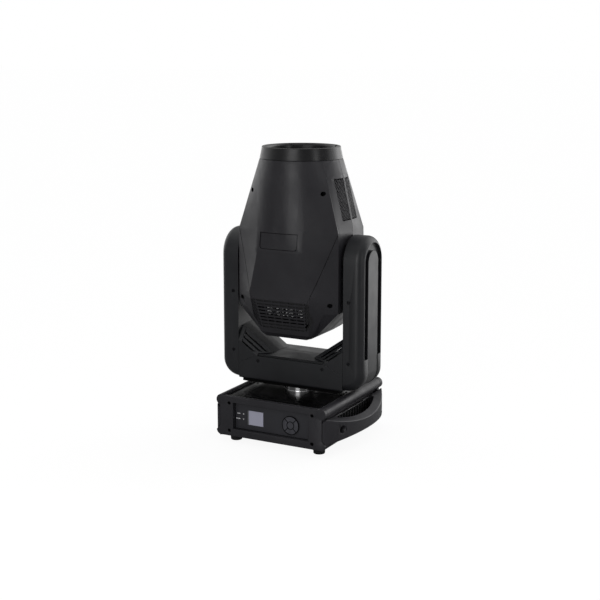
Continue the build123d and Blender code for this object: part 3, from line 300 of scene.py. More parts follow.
def section(level, steps):
    """Points round one section, from the front middle to the right and on, in metres."""
    z, front, edge, shoulder, ridge = level
    keys = [(0.0, front), edge, shoulder, (ridge, 0.0)]
    rounding = min(1.0, max(0.0, (z - ROUND_FROM) / (HEAD_LEVELS[0][0] - ROUND_FROM)))
    quarter = []
    for index, count in enumerate(steps):
        (xa, ya), (xb, yb) = keys[index], keys[index + 1]
        weight = 1.0 if index == 0 and z > CREASE + 1 else rounding
        for step in range(count):
            t = step / count
            radius = hypot(xa, ya) * (1 - t) + hypot(xb, yb) * t
            angle = atan2(ya, xa) * (1 - t) + atan2(yb, xb) * t
            x, y = xa + (xb - xa) * t, ya + (yb - ya) * t
            quarter.append((x + (radius * cos(angle) - x) * weight, y + (radius * sin(angle) - y) * weight))
    quarter.append((ridge, 0.0))
    right = [(x, -y) for x, y in quarter] + [(x, y) for x, y in reversed(quarter[:-1])]
    left = [(-x, y) for x, y in reversed(right[1:-1])]
    return [Vector((x, y, z)) * 0.001 for x, y in right + left]


def curved(index, t):
    """Level part of the way down, bending smoothly through its neighbours."""
    before, first = HEAD_LEVELS[max(index - 1, 0)], HEAD_LEVELS[index]
    second, after = HEAD_LEVELS[index + 1], HEAD_LEVELS[min(index + 2, CURVED_LEVELS)]
    za, zb, zc, zd = before[0], first[0], second[0], after[0]
    run = zc - zb

    def part(a, b, c, d):
        if isinstance(b, tuple):
            return tuple(part(*four) for four in zip(a, b, c, d))
        start = (c - a) / (zc - za) * run if za != zb else c - b
        end = (d - b) / (zd - zb) * run if zd != zc else c - b
        return ((2 * t ** 3 - 3 * t * t + 1) * b + (t ** 3 - 2 * t * t + t) * start
                + (3 * t * t - 2 * t ** 3) * c + (t ** 3 - t * t) * end)

    return (zb + run * t, *part(before[1:], first[1:], second[1:], after[1:]))


def tube(rings):
    """Search tree of the surface through a stack of sections."""
    points = [point for ring in rings for point in ring]
    count = len(rings[0])
    faces = []
    for row in range(len(rings) - 1):
        for i in range(count):
            j = (i + 1) % count
            upper, lower = row * count, (row + 1) * count
            faces += [(upper + i, upper + j, lower + j), (upper + i, lower + j, lower + i)]
    return BVHTree.FromPolygons(points, faces)


def make_skins():
    """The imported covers' faceted skin, and the smooth one that they are eased on to."""
    steps, parts = (18, 12, 12), 10
    rings = []
    for index in range(len(HEAD_LEVELS) - 1):
        first, second = section(HEAD_LEVELS[index], steps), section(HEAD_LEVELS[index + 1], steps)
        for step in range(parts):
            if index < CURVED_LEVELS:
                rings.append(section(curved(index, step / parts), steps))
            else:
                rings.append([a.lerp(b, step / parts) for a, b in zip(first, second)])
    rings.append(section(HEAD_LEVELS[-1], steps))
    SKINS["faceted"] = tube([section(level, (3, 2, 2)) for level in HEAD_LEVELS])
    SKINS["smooth"] = tube(rings)


def reach(skin, x, y, z):
    """Distance from the head's axis to a skin, towards a point."""
    return skin.ray_cast(Vector((0.0, 0.0, z)), Vector((x, y, 0.0)).normalized())[3]


def eased(node, name, finish):
    """A head cover cut into small faces and moved from the faceted skin to the smooth one."""
    bm = joined_copy(node)
    levels = (*range(340, 448, 24), 448, *range(456, 646, 9))
    planes = [((0.0, 0.0, z * 0.001), (0.0, 0.0, 1.0)) for z in levels]
    planes += [((0.0, 0.0, 0.4), (cos(radians(a)), sin(radians(a)), 0.0)) for a in range(0, 180, 6)]
    for place, normal in planes:
        bmesh.ops.bisect_plane(bm, geom=bm.verts[:] + bm.edges[:] + bm.faces[:], dist=0.00001,
                               plane_co=place, plane_no=normal)
    for vert in bm.verts:
        x, y, z = vert.co
        if hypot(x, y) > 0.045 and EASED_FROM < z < EASED_TO:
            before, after = reach(SKINS["faceted"], x, y, z), reach(SKINS["smooth"], x, y, z)
            if before and after:
                factor = 1.0 + (after - before) / hypot(x, y)
                vert.co.x, vert.co.y = x * factor, y * factor
    obj = from_bmesh(name, bm)
    finish_piece(obj, node, finish, (node,))
    obj.data.set_sharp_from_angle(angle=radians(13.0))
    round_edges(obj, 0.5 * sizes().edge_round, 40.0)


# ---- node graphs

class Graph:
    """A node tree, built a node at a time."""

    def __init__(self, tree):
        self.tree = tree

    def feed(self, socket, value):
        """Link an output to an input, or set the input's own value."""
        if isinstance(value, bpy.types.NodeSocket):
            self.tree.links.new(value, socket)
        else:
            socket.default_value = value

    def add(self, kind, inputs=None, **settings):
        node = self.tree.nodes.new(kind)
        for key, value in settings.items():
            setattr(node, key, value)
        for key, value in (inputs or {}).items():
            self.feed(node.inputs[key], value)
        return node


class Tree(Graph):
    """A geometry node tree with named inputs."""

    def __init__(self, name, **inputs):
        super().__init__(bpy.data.node_groups.new(name, "GeometryNodeTree"))
        self.tree.interface.new_socket("Geometry", in_out="INPUT", socket_type="NodeSocketGeometry")
        self.tree.interface.new_socket("Geometry", in_out="OUTPUT", socket_type="NodeSocketGeometry")
        for key, value in inputs.items():
            kind = "NodeSocketMaterial" if key == "material" else "NodeSocketFloat"
            socket = self.tree.interface.new_socket(key.replace("_", " ").capitalize(), in_out="INPUT",
                                                    socket_type=kind)
            if kind == "NodeSocketFloat":
                socket.default_value = value
        self.start = self.tree.nodes.new("NodeGroupInput")
        self.end = self.tree.nodes.new("NodeGroupOutput")

    def value(self, name):
        return self.start.outputs[name]

    def close(self, geometry):
        """Realize the instances, set the material and end the tree."""
        real = self.add("GeometryNodeRealizeInstances", {"Geometry": geometry})
        painted = self.add("GeometryNodeSetMaterial", {"Geometry": real.outputs[0],
                                                       "Material": self.value("Material")})
        self.tree.links.new(painted.outputs[0], self.end.inputs[0])
        return self.tree


def grown(name, node, finish, base, tree, replaced=(), **values):
    """Plain mesh made by a geometry node tree from a base object, which is removed."""
    values["material"] = FINISHES[finish]
    modifier = base.modifiers.new("Growth", "NODES")
    modifier.node_group = tree
    for item in tree.interface.items_tree:
        key = item.name.lower().replace(" ", "_")
        if item.in_out == "INPUT" and key in values:
            modifier[item.identifier] = values[key]
    bpy.context.view_layer.update()
    graph = bpy.context.evaluated_depsgraph_get()
    mesh = bpy.data.meshes.new_from_object(base.evaluated_get(graph), depsgraph=graph)
    base.modifiers.clear()
    bpy.data.meshes.remove(base.data)
    mesh.name = name
    obj = link(bpy.data.objects.new(name, mesh))
    bm = bmesh.new()
    bm.from_mesh(mesh)
    bmesh.ops.remove_doubles(bm, verts=bm.verts, dist=0.000001)
    bmesh.ops.recalc_face_normals(bm, faces=bm.faces)
    bm.to_mesh(mesh)
    bm.free()
    finish_piece(obj, node, finish, replaced)
    mesh.set_sharp_from_angle(angle=radians(30.0))


def bars(name, node, finish, points, chains, width):
    """Square bars along chains of points."""
    grown(name, node, finish, base_points(points, chains), bar_tree(), width=width)


def strand(points, chains, run, closed=False):
    """One more chain through a run of points."""
    first, count = len(points), len(run)
    points += run
    chains += [(first + i, first + (i + 1) % count) for i in range(count if closed else count - 1)]


def screw_tree():
    """Head with a hexagon recess on every point, turned to the point's aim and sized by it."""
    tree = Tree("Socket screws", head_radius=sizes().screw_radius, head_height=SCREW_HEIGHT,
                socket_radius=SCREW_SOCKET, material=None)
    height = tree.value("Head height")
    head = tree.add("GeometryNodeMeshCylinder", {"Vertices": 24, "Radius": tree.value("Head radius"),
                                                 "Depth": height})
    lift = tree.add("ShaderNodeMath", {0: height, 1: 0.4}, operation="MULTIPLY")
    up = tree.add("ShaderNodeCombineXYZ", {"Z": lift.outputs[0]})
    hexagon = tree.add("GeometryNodeMeshCylinder", {"Vertices": 6, "Radius": tree.value("Socket radius"),
                                                    "Depth": height})
    bore = tree.add("GeometryNodeTransform", {"Geometry": hexagon.outputs["Mesh"],
                                              "Translation": up.outputs[0]})
    cut = tree.add("GeometryNodeMeshBoolean", {"Mesh 1": head.outputs["Mesh"], "Mesh 2": bore.outputs[0]},
                   operation="DIFFERENCE", solver="EXACT")
    aim = tree.add("GeometryNodeInputNamedAttribute", {"Name": "aim"}, data_type="FLOAT_VECTOR")
    grow = tree.add("GeometryNodeInputNamedAttribute", {"Name": "grow"}, data_type="FLOAT_VECTOR")
    turn = tree.add("FunctionNodeAlignRotationToVector", {"Vector": aim.outputs[0]}, axis="Z")
    placed = tree.add("GeometryNodeInstanceOnPoints", {"Points": tree.value("Geometry"),
                                                       "Instance": cut.outputs["Mesh"],
                                                       "Rotation": turn.outputs[0], "Scale": grow.outputs[0]})
    return tree.close(placed.outputs[0])


def screws(name, node, finish, places, aims, scales, tree, replaced=()):
    """Socket screws of one body, each with its place, direction and scale."""
    base = base_points(places, aim=aims, grow=[(scale,) * 3 for scale in scales])
    grown(name, node, finish, base, tree, replaced, head_radius=sizes().screw_radius,
          head_height=SCREW_HEIGHT, socket_radius=SCREW_SOCKET)


def bar_tree():
    """Square bar along every chain of edges."""
    tree = Tree("Bars", width=sizes().vent_bar, material=None)
    path = tree.add("GeometryNodeMeshToCurve", {"Mesh": tree.value("Geometry")})
    profile = tree.add("GeometryNodeCurvePrimitiveQuadrilateral",
                       {"Width": tree.value("Width"), "Height": tree.value("Width")})
    bar = tree.add("GeometryNodeCurveToMesh", {"Curve": path.outputs[0],
                                               "Profile Curve": profile.outputs[0], "Fill Caps": True})
    return tree.close(bar.outputs[0])


def slab_tree():
    """Every face of the base made a closed slab of one thickness."""
    tree = Tree("Blades", thickness=BLADE[2], material=None)
    up = tree.add("ShaderNodeCombineXYZ", {"Z": 1.0})
    raised = tree.add("GeometryNodeExtrudeMesh", {"Mesh": tree.value("Geometry"), "Offset": up.outputs[0],
                                                  "Offset Scale": tree.value("Thickness"),
                                                  "Individual": False}, mode="FACES")
    under = tree.add("GeometryNodeFlipFaces", {"Mesh": tree.value("Geometry")})
    both = tree.add("GeometryNodeJoinGeometry")
    tree.tree.links.new(raised.outputs["Mesh"], both.inputs[0])
    tree.tree.links.new(under.outputs[0], both.inputs[0])
    merged = tree.add("GeometryNodeMergeByDistance", {"Geometry": both.outputs[0], "Distance": 0.000002})
    return tree.close(merged.outputs[0])


def base_points(points, chains=(), faces=(), **vectors):
    """Object of points in metres, with chains or faces between them and named vectors on them."""
    mesh = bpy.data.meshes.new("points")
    mesh.from_pydata([tuple(point) for point in points], list(chains), list(faces))
    for name, values in vectors.items():
        attribute = mesh.attributes.new(name, "FLOAT_VECTOR", "POINT")
        for item, value in zip(attribute.data, values):
            item.vector = tuple(value)
    return link(bpy.data.objects.new("points", mesh))


def solids_of(node):
    """Boxes of a CAD node's separate solids: (lowest corner, highest corner)."""
    bm = joined_copy(node)
    left, boxes = set(bm.verts), []
    while left:
        heap, seen = [left.pop()], []
        while heap:
            vert = heap.pop()
            seen.append(vert.co.copy())
            for edge in vert.link_edges:
                other = edge.other_vert(vert)
                if other in left:
                    left.remove(other)
                    heap.append(other)
        boxes.append(tuple(Vector(pick(point[i] for point in seen) for i in range(3)) for pick in (min, max)))
    bm.free()
    return boxes


def skin_point(x, y, z, way, sunk):
    """Point on the smooth skin along a direction from an inner point, sunk below it."""
    place = SKINS["smooth"].ray_cast(Vector((x, y, z)), Vector(way))[0]
    return place - Vector(way) * sunk


def keypad_lines():
    """Painted shade in the grooves round the keypad and its middle key, and between the four outer keys."""
    (x, z), face, count = KEYPAD_CENTRE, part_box("key_up")[0][1] + GROOVE_BEHIND, 48
    points, chains = [], []
    for radius in KEYPAD_GROOVES:
        turns = [2 * pi * i / count for i in range(count)]
        strand(points, chains, [(x + radius * cos(a), face, z + radius * sin(a)) for a in turns], True)
    for quarter in range(4):
        turn = pi / 4 + quarter * pi / 2
        run = [(x + radius * cos(turn), face, z + radius * sin(turn)) for radius in KEY_SPLIT]
        strand(points, chains, run)
    bars("keypad_grooves", "control_panel", "painted_shade", points, chains, GROOVE_WIDTH)


def head_seams():
    """Painted shade lines where the shields meet the shells, and round the outlines of the blank label
    recesses.
    """
    points, chains = [], []

    def line(corners, way):
        run = []
        for (xa, za), (xb, zb) in zip(corners, corners[1:]):
            steps = max(2, int(hypot(xb - xa, zb - za) / 0.004))
            run += [(xa + (xb - xa) * i / steps, za + (zb - za) * i / steps) for i in range(steps)]
        run.append(corners[-1])
        strand(points, chains, [skin_point(x, 0.0, z, (0.0, way, 0.0), SEAM_SUNK) for x, z in run])

    low, high, half, turn = LABEL_RECESS
    right = [(half - turn + turn * sin(a), low + turn - turn * cos(a))
             for a in (radians(9 * step) for step in range(11))]
    left = [(-x, z) for x, z in reversed(right)]
    for way in (-1, 1):
        for side in (-1, 1):
            line([(side * x, z) for x, z in SHIELD_SEAM], way)
        line([(-half, high), *left, *right, (half, high), (-half, high)], way)
    bars("head_seams", "front_shield", "painted_shade", points, chains, SEAM_WIDTH)


def vent_lattice():
    """Diamond lattice in the four side vents, lying on the head's skin."""
    cell, steps = sizes().vent_cell, 8
    inner, outer, low, high = VENT_WINDOW
    wide = outer - inner
    points, chains = [], []
    for side, hand, slope in product((-1, 1), repeat=3):
        for index in range(int((high - low + wide) / cell) + 1):
            start = low - wide + cell * (index + 0.5)
            run = []
            for step in range(steps + 1):
                across = wide * step / steps
                z = start + across if slope > 0 else start + wide - across
                if low <= z <= high:
                    run.append(skin_point(0.0, hand * (inner + across), z, (side, 0.0, 0.0), LATTICE_SUNK))
            if len(run) > 1:
                strand(points, chains, run)
    bars("vent_lattice", "vent_meshes", "head", points, chains, sizes().vent_bar)


def grille_blades():
    """Short bright blades behind the middle rows of slots in the front and rear grilles."""
    points, faces, steps = [], [], 40
    depth, inwards, thickness = BLADE
    for way in (-1, 1):
        for row in GRILLE_OPEN_ROWS:
            z = GRILLE_LOW + GRILLE_PITCH * row
            half = GRILLE_HALF[0] + (GRILLE_HALF[1] - GRILLE_HALF[0]) * row / GRILLE_ROWS
            first = len(points)
            for step in range(steps + 1):
                outer = skin_point(half * (2 * step / steps - 1), 0.0, z, (0.0, way, 0.0), depth)
                points += [outer, outer - Vector((0.0, way * inwards, 0.0))]
            for step in (step for step in range(6, steps) if step % 4 < 2):
                i = first + 2 * step
                quad = (i, i + 2, i + 3, i + 1)
                faces.append(quad if way < 0 else quad[::-1])
    grown("grille_blades", "head_shell_front", "aluminium", base_points(points, (), faces), slab_tree(),
          thickness=thickness)


def skin_sheet(bm, way, left, right, low, high, depth):
    """Closed sheet behind the skin, between two values of X and of Z."""
    across, up, layers = 6, 6, []
    for sunk in (depth, depth + SHEET_THICKNESS):
        layers.append([[bm.verts.new(skin_point(left + (right - left) * i / across, 0.0,
                                                low + (high - low) * j / up, (0.0, way, 0.0), sunk))
                        for i in range(across + 1)] for j in range(up + 1)])
    outer, inner = layers
    for j in range(up):
        for i in range(across):
            for layer in layers:
                bm.faces.new((layer[j][i], layer[j][i + 1], layer[j + 1][i + 1], layer[j + 1][i]))
    rim = [(0, i) for i in range(across)] + [(j, across) for j in range(up)] \
        + [(up, i) for i in range(across, 0, -1)] + [(j, 0) for j in range(up, 0, -1)]
    for (j, i), (l, k) in zip(rim, rim[1:] + rim[:1]):
        bm.faces.new((outer[j][i], outer[l][k], inner[l][k], inner[j][i]))


def grille_shades():
    """Sheets behind the slots: shallow at the top, the bottom and the sides, deep near-black painted shade in
    between.
    """
    for name, (finish, depth, sheets) in GRILLE_SHEETS.items():
        bm = bmesh.new()
        for way in (-1, 1):
            for left, right, low, high in sheets:
                skin_sheet(bm, way, left, right, low, high, depth)
        bmesh.ops.recalc_face_normals(bm, faces=bm.faces)
        finish_piece(from_bmesh(name, bm), "head_shell_front", finish, smooth=False)


# ---- materials

def solid(value):
    """Colour at full strength of its alpha; a socket stays as it is."""
    return value if isinstance(value, bpy.types.NodeSocket) else (*value, 1.0)


class Shade(Graph):
    """A material's node tree."""

    def __init__(self, name):
        self.material = bpy.data.materials.new(name)
        self.material.use_nodes = True
        super().__init__(self.material.node_tree)
        self.shader = self.tree.nodes["Principled BSDF"]
        self.place = self.add("ShaderNodeTexCoord").outputs["Object"]

    def noise(self, scale, detail=3.0, rough=0.5, place=None):
        node = self.add("ShaderNodeTexNoise", {"Vector": place or self.place, "Scale": scale,
                                               "Detail": detail, "Roughness": rough})
        return node.outputs["Fac"]

    def cells(self, scale, place=None, **settings):
        node = self.add("ShaderNodeTexVoronoi", {"Vector": place or self.place, "Scale": scale}, **settings)
        return node.outputs["Distance"]

    def span(self, value, low, high, start=0.3, end=0.7):
        node = self.add("ShaderNodeMapRange", {"Value": value, "From Min": start, "From Max": end,
                                               "To Min": low, "To Max": high})
        return node.outputs["Result"]

    def mix(self, factor, first, second):
        node = self.add("ShaderNodeMix", {0: factor, 6: solid(first), 7: solid(second)}, data_type="RGBA")
        return node.outputs[2]

    def sums(self, operation, first, second):
        return self.add("ShaderNodeMath", {0: first, 1: second}, operation=operation).outputs[0]

    def relief(self, height, distance):
        bump = self.add("ShaderNodeBump", {"Height": height, "Distance": distance, "Strength": 1.0})
        return bump.outputs["Normal"]

    def stretched(self, x, y, z):
        return self.add("ShaderNodeMapping", {"Vector": self.place, "Scale": (x, y, z)}).outputs["Vector"]

    def set(self, **values):
        names = {"colour": "Base Color", "roughness": "Roughness", "metal": "Metallic", "normal": "Normal",
                 "specular": "Specular IOR Level", "ior": "IOR", "coat": "Coat Weight",
                 "coat_roughness": "Coat Roughness", "transmission": "Transmission Weight"}
        for key, value in values.items():
            self.feed(self.shader.inputs[names[key]], solid(value) if key == "colour" else value)


def shifted(colour, factor):
    return tuple(min(1.0, part * factor) for part in colour)


def moulded(name, colour, roughness, grain=900.0, depth=0.00003, specular=0.5, drift=0.35):
    """Moulded plastic with an eroded grain, slight drift of tone and uneven sheen."""
    shade, spread = Shade(name), 0.06
    drifted = shade.noise(9.0, 4.0)
    tone = shade.mix(shade.span(drifted, 0.0, 1.0), shifted(colour, 1 - drift / 2),
                     shifted(colour, 1 + drift / 2))
    fine = shade.noise(grain, 2.0, 0.6)
    pits = shade.cells(grain * 0.7)
    surface = shade.sums("ADD", fine, shade.sums("MULTIPLY", pits, 0.5))
    sheen = shade.sums("ADD", shade.span(shade.noise(26.0, 3.0), roughness - spread, roughness + spread),
                       shade.span(fine, -0.03, 0.03))
    shade.set(colour=tone, roughness=sheen, specular=specular, normal=shade.relief(surface, depth))
    return shade.material


def polished(name, colour, roughness, specular):
    """Smooth glossy plastic with a faint orange peel and light dust in the sheen."""
    shade = Shade(name)
    peel = shade.noise(160.0, 2.0)
    dust = shade.noise(1400.0, 2.0, 0.7)
    smear = shade.noise(14.0, 3.0)
    sheen = shade.sums("ADD", shade.span(smear, roughness * 0.7, roughness * 1.4),
                       shade.span(dust, 0.0, 0.05, 0.6, 0.8))
    tone = shade.mix(shade.span(dust, 0.0, 0.12, 0.62, 0.8), colour, (0.25, 0.25, 0.26))
    shade.set(colour=tone, roughness=sheen, specular=specular, normal=shade.relief(peel, 0.00002))
    return shade.material


def metal(name, colour, roughness, brush=(1.0, 1.0, 1.0), fine=600.0, depth=0.00001):
    """Bare or plated metal with machining lines along the direction left short in brush."""
    shade = Shade(name)
    lines = shade.noise(fine, 3.0, 0.6, shade.stretched(*brush))
    patches = shade.noise(30.0, 3.0)
    tone = shade.mix(shade.span(patches, 0.0, 1.0), shifted(colour, 0.85), colour)
    sheen = shade.sums("ADD", shade.span(lines, roughness * 0.7, roughness * 1.3),
                       shade.span(patches, -0.02, 0.02))
    shade.set(colour=tone, metal=1.0, roughness=sheen, normal=shade.relief(lines, depth))
    return shade.material


def rubber(name, colour, roughness=0.7):
    """Soft rubber with a dull bloom."""
    shade = Shade(name)
    bloom = shade.noise(60.0, 5.0, 0.65)
    fine = shade.noise(1600.0, 2.0)
    tone = shade.mix(shade.span(bloom, 0.0, 1.0), colour, shifted(colour, 1.7))
    shade.set(colour=tone, roughness=shade.span(bloom, roughness - 0.08, roughness + 0.1),
              specular=0.35, normal=shade.relief(fine, 0.00003))
    return shade.material


def clear_glass(name, tint):
    """Lens glass with a faint coating and a little dust."""
    shade, roughness = Shade(name), 0.02
    dust = shade.noise(900.0, 3.0, 0.7)
    smear = shade.noise(22.0, 3.0)
    tone = shade.mix(shade.span(smear, 0.0, 1.0), tint, shifted(tint, 0.94))
    shade.set(colour=tone, transmission=1.0, ior=1.5, coat=0.3, coat_roughness=0.03,
              roughness=shade.sums("ADD", shade.span(dust, 0.0, 0.06, 0.62, 0.85),
                                   shade.span(smear, roughness * 0.5, roughness * 1.5)))
    return shade.material


def display_face():
    """Grey display behind glass: a fine dot raster, painted shade along its low-X edge where the glass meets
    its frame, and a slight painted lightening at the high-X end.
    """
    shade = Shade("display_glass")
    low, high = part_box("display_window")
    split = shade.add("ShaderNodeSeparateXYZ", {"Vector": shade.place})
    across = shade.span(split.outputs["X"], 0.0, 1.0, low.x, high.x)
    # ramp across X: painted shade at the low-X edge beside the frame, then the display's grey, a little
    # lighter at the high-X end as painted light
    edge = shade.add("ShaderNodeValToRGB", {"Fac": across})
    stops, grey = edge.color_ramp.elements, tuple(colours().display)
    stops[0].position, stops[0].color = 0.10, (0.15, 0.155, 0.165, 1.0)
    stops[1].position, stops[1].color = 1.0, solid(shifted(grey, 1.04))
    for place in (0.16, 0.90):
        stops.new(place).color = solid(grey)
    dots = shade.cells(2600.0, shade.place)
    tone = shade.mix(shade.span(dots, 0.0, 0.1, 0.1, 0.7), edge.outputs["Color"], (0.05, 0.05, 0.06))
    shade.set(colour=tone, roughness=shade.span(shade.noise(18.0), 0.05, 0.12), specular=0.5, coat=0.4,
              coat_roughness=0.03)
    return shade.material


def circuit_board():
    """Green board with copper tracks under its lacquer."""
    shade = Shade("board_green")
    bricks = shade.add("ShaderNodeTexBrick", {"Vector": shade.place, "Scale": 220.0, "Mortar Size": 0.04})
    tracks = shade.cells(180.0, shade.stretched(1.0, 0.35, 1.0), distance="MANHATTAN")
    tone = shade.mix(shade.span(tracks, 0.0, 1.0, 0.25, 0.3), (0.012, 0.09, 0.035), (0.02, 0.16, 0.06))
    tone = shade.mix(shade.sums("MULTIPLY", bricks.outputs["Fac"], 0.6), tone, (0.42, 0.36, 0.22))
    shade.set(colour=tone, roughness=shade.span(tracks, 0.3, 0.45), specular=0.5,
              normal=shade.relief(bricks.outputs["Fac"], 0.00005))
    return shade.material


def ribbed_belt():
    """Black toothed belt with fabric on its back."""
    shade = Shade("belt_rubber")
    weave = shade.add("ShaderNodeTexWave", {"Vector": shade.place, "Scale": 500.0, "Distortion": 0.6})
    fine = shade.noise(1400.0)
    shade.set(colour=shade.mix(weave.outputs["Fac"], (0.012, 0.012, 0.012), (0.035, 0.035, 0.036)),
              roughness=shade.span(fine, 0.6, 0.8), specular=0.3,
              normal=shade.relief(weave.outputs["Fac"], 0.0001))
    return shade.material


def light_engine():
    """White reflector round the light engine, with the emitters' yellow phosphor grid."""
    shade = Shade("engine_white")
    chips = shade.cells(230.0, shade.place, distance="CHEBYCHEV")
    glint = shade.noise(70.0)
    tone = shade.mix(shade.span(chips, 0.0, 1.0, 0.3, 0.35), (0.75, 0.62, 0.16), (0.78, 0.78, 0.74))
    shade.set(colour=tone, roughness=shade.span(glint, 0.3, 0.5), specular=0.5,
              normal=shade.relief(chips, 0.0002))
    return shade.material


def filter_glass():
    """Dark filter wheel: coated metal with a shifting violet cast."""
    shade = Shade("filter_dark")
    cast = shade.noise(45.0, 2.0)
    tone = shade.mix(shade.span(cast, 0.0, 1.0), (0.05, 0.045, 0.07), (0.03, 0.05, 0.08))
    shade.set(colour=tone, metal=0.6, roughness=shade.span(shade.noise(300.0), 0.22, 0.34),
              specular=0.5, normal=shade.relief(shade.noise(500.0), 0.00002))
    return shade.material


FINISHES = {}


def make_finishes():
    housing, arms = tuple(colours().housing), tuple(colours().arms)
    FINISHES.update({
        "housing": moulded("housing_black", housing, 0.46, specular=0.42),
        "head": moulded("head_black", shifted(housing, 0.9), 0.40, grain=1100.0, depth=0.00002,
                        specular=0.42),
        "arms": moulded("arm_black", arms, 0.40, grain=1000.0, depth=0.00002, specular=0.42),
        "panel": moulded("panel_black", (0.030, 0.030, 0.036), 0.42, grain=1500.0, depth=0.00001, drift=0.12),
        "gloss": polished("gloss_black", (0.0018, 0.0018, 0.0021), 0.17, specular=0.22),
        "nose": polished("nose_black", (0.008, 0.008, 0.009), 0.30, specular=0.45),
        "frame": moulded("frame_black", (0.015, 0.015, 0.016), 0.55, grain=700.0, depth=0.00005),
        "ring": metal("bright_ring", (0.92, 0.92, 0.93), 0.16, brush=(1.0, 1.0, 12.0), fine=220.0,
                      depth=0.000004),
        "aluminium": metal("aluminium_plain", (0.80, 0.80, 0.81), 0.32, brush=(1.0, 8.0, 1.0)),
        "steel": metal("steel_plain", (0.52, 0.52, 0.53), 0.34, brush=(6.0, 1.0, 1.0)),
        "screw": metal("screw_black", (0.008, 0.008, 0.009), 0.26, fine=900.0),
        "rubber": rubber("rubber_black", (0.014, 0.014, 0.015)),
        "key": rubber("key_rubber", (0.055, 0.055, 0.064), 0.36),
        "display": display_face(),
        "glass": clear_glass("lens_glass", (0.93, 0.96, 0.98)),
        "board": circuit_board(),
        "belt": ribbed_belt(),
        "engine": light_engine(),
        "filter": filter_glass(),
        "screw_plain": metal("screw_plain", (0.03, 0.03, 0.033), 0.42, fine=900.0),
        # Near-black, rough and barely reflecting: painted shade, laid where shade falls in grooves, seams,
        # gaps and openings.
        "painted_shade": moulded("hollow_black", (0.0022, 0.0022, 0.0024), 0.9, grain=500.0, specular=0.08),
        "legend": moulded("legend_white", tuple(colours().legend), 0.5, grain=1500.0, depth=0.00001,
                          drift=0.1),
    })


# ---- operators, one for each piece or group of like pieces

class PieceOperator:
    """Shared settings of the operators below."""

    bl_options = {"REGISTER", "UNDO"}


class LIGHT_OT_base_frames(PieceOperator, bpy.types.Operator):
    """Round the base's front frame and side rails, and finish its rear frame"""

    bl_idname = "moving_head.base_frames"
    bl_label = "Base frames and rails"

    def execute(self, context):
        for node in ("front_frame", "side_rails"):
            softened(node, f"{node}_moulding", "housing", sizes().edge_round)
        carried("housing", "rear_frame")
        return {"FINISHED"}


class LIGHT_OT_side_handles(PieceOperator, bpy.types.Operator):
    """Round the grip mouldings on both sides of the base and line their finger openings with painted shade
    and ribs
    """

    bl_idname = "moving_head.side_handles"
    bl_label = "Side handles"

    def execute(self, context):
        half, low, high = HANDLE_SHADE_LINER
        count, pitch, thin, gap = HANDLE_RIBS
        middles = [pitch * (index - (count - 1) / 2) for index in range(count)]
        handles = {"side_handle_left": -1, "side_handle_right": 1}
        for node in handles:
            softened(node, f"{node}_moulding", "housing", 2.2 * sizes().edge_round, steps=3)
        for node, side in handles.items():
            wall = side * HANDLE_WALL
            shade_liner, rib = (sorted((wall, wall + side * depth)) for depth in HANDLE_DEPTHS)
            # near-black liner on the inner wall: painted shade in the finger openings
            block_piece(f"{node}_liner", node, "painted_shade", (*shade_liner, -half, half, low, high))
            block_piece(f"{node}_ribs", node, "frame",
                        *[(*rib, y - thin, y + thin, low + gap, high - gap) for y in middles])
        return {"FINISHED"}


class LIGHT_OT_base_plates(PieceOperator, bpy.types.Operator):
    """Polish the top plate and its screws, and finish the tray and the feet"""

    bl_idname = "moving_head.base_plates"
    bl_label = "Base plates and feet"

    def execute(self, context):
        softened("top_plate", "top_plate_sheet", "gloss", sizes().fine_round)
        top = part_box("top_plate")[1][2]
        x, y, proud, scale = PLATE_SCREWS
        places = [(a, b, top + proud) for a in (-x, x) for b in (-y, y)]
        screws("plate_screws", "top_plate", "screw", places, [(0.0, 0.0, 1.0)] * 4, [scale] * 4,
               screw_tree())
        softened("bottom_tray", "bottom_tray_sheet", "frame", sizes().fine_round)
        softened("feet", "rubber_feet", "rubber", 1.6 * sizes().edge_round, steps=3)
        return {"FINISHED"}


class LIGHT_OT_front_panel(PieceOperator, bpy.types.Operator):
    """Finish the control panel, its display and the marks beside it"""

    bl_idname = "moving_head.front_panel"
    bl_label = "Front panel"

    def execute(self, context):
        softened("control_panel", "control_panel_sheet", "panel", sizes().fine_round)
        softened("display_window", "display_glass_plate", "display", sizes().fine_round)
        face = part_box("control_panel")[0][1]
        front, back = face - MARK_FACES[0], face + MARK_FACES[1]
        for name, (z, left, parts) in MARKS.items():
            step = (MARKS_RIGHT - left) / parts
            block_piece(f"mark_{name}", "control_panel", "legend",
                        *[(left + step * i, left + step * (i + MARK_FILL), front, back,
                           z - MARK_HALF, z + MARK_HALF) for i in range(parts)])
        for name, (z, *_) in MARKS.items():
            tube_piece(f"lamp_{name}", "control_panel", "legend", *LAMP[:2], front, back, (LAMP[2], z), False)
        x, low, high = PANEL_WINDOW
        corners = [(-x, face, low), (x, face, low), (x, face, high), (-x, face, high)]
        # near-black bars round the panel's window: painted shade where its recess meets the frame
        bars("panel_outline", "control_panel", "painted_shade", corners, ((0, 1), (1, 2), (2, 3), (3, 0)),
             OUTLINE_WIDTH)
        low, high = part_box("display_window")
        wide, before, behind = DISPLAY_EDGE
        block_piece("display_edge", "display_window", "frame",
                    (low[0], low[0] + wide, low[1] - before, low[1] + behind, low[2], high[2]))
        return {"FINISHED"}


class LIGHT_OT_keypad(PieceOperator, bpy.types.Operator):
    """Round the five rubber keys and paint shade into the grooves round and between them"""

    bl_idname = "moving_head.keypad"
    bl_label = "Keypad"

    def execute(self, context):
        for node in ("key_up", "key_right", "key_down", "key_left", "key_enter"):
            softened(node, f"{node}_cap", "key", KEY_ROUND, steps=3)
        keypad_lines()
        return {"FINISHED"}


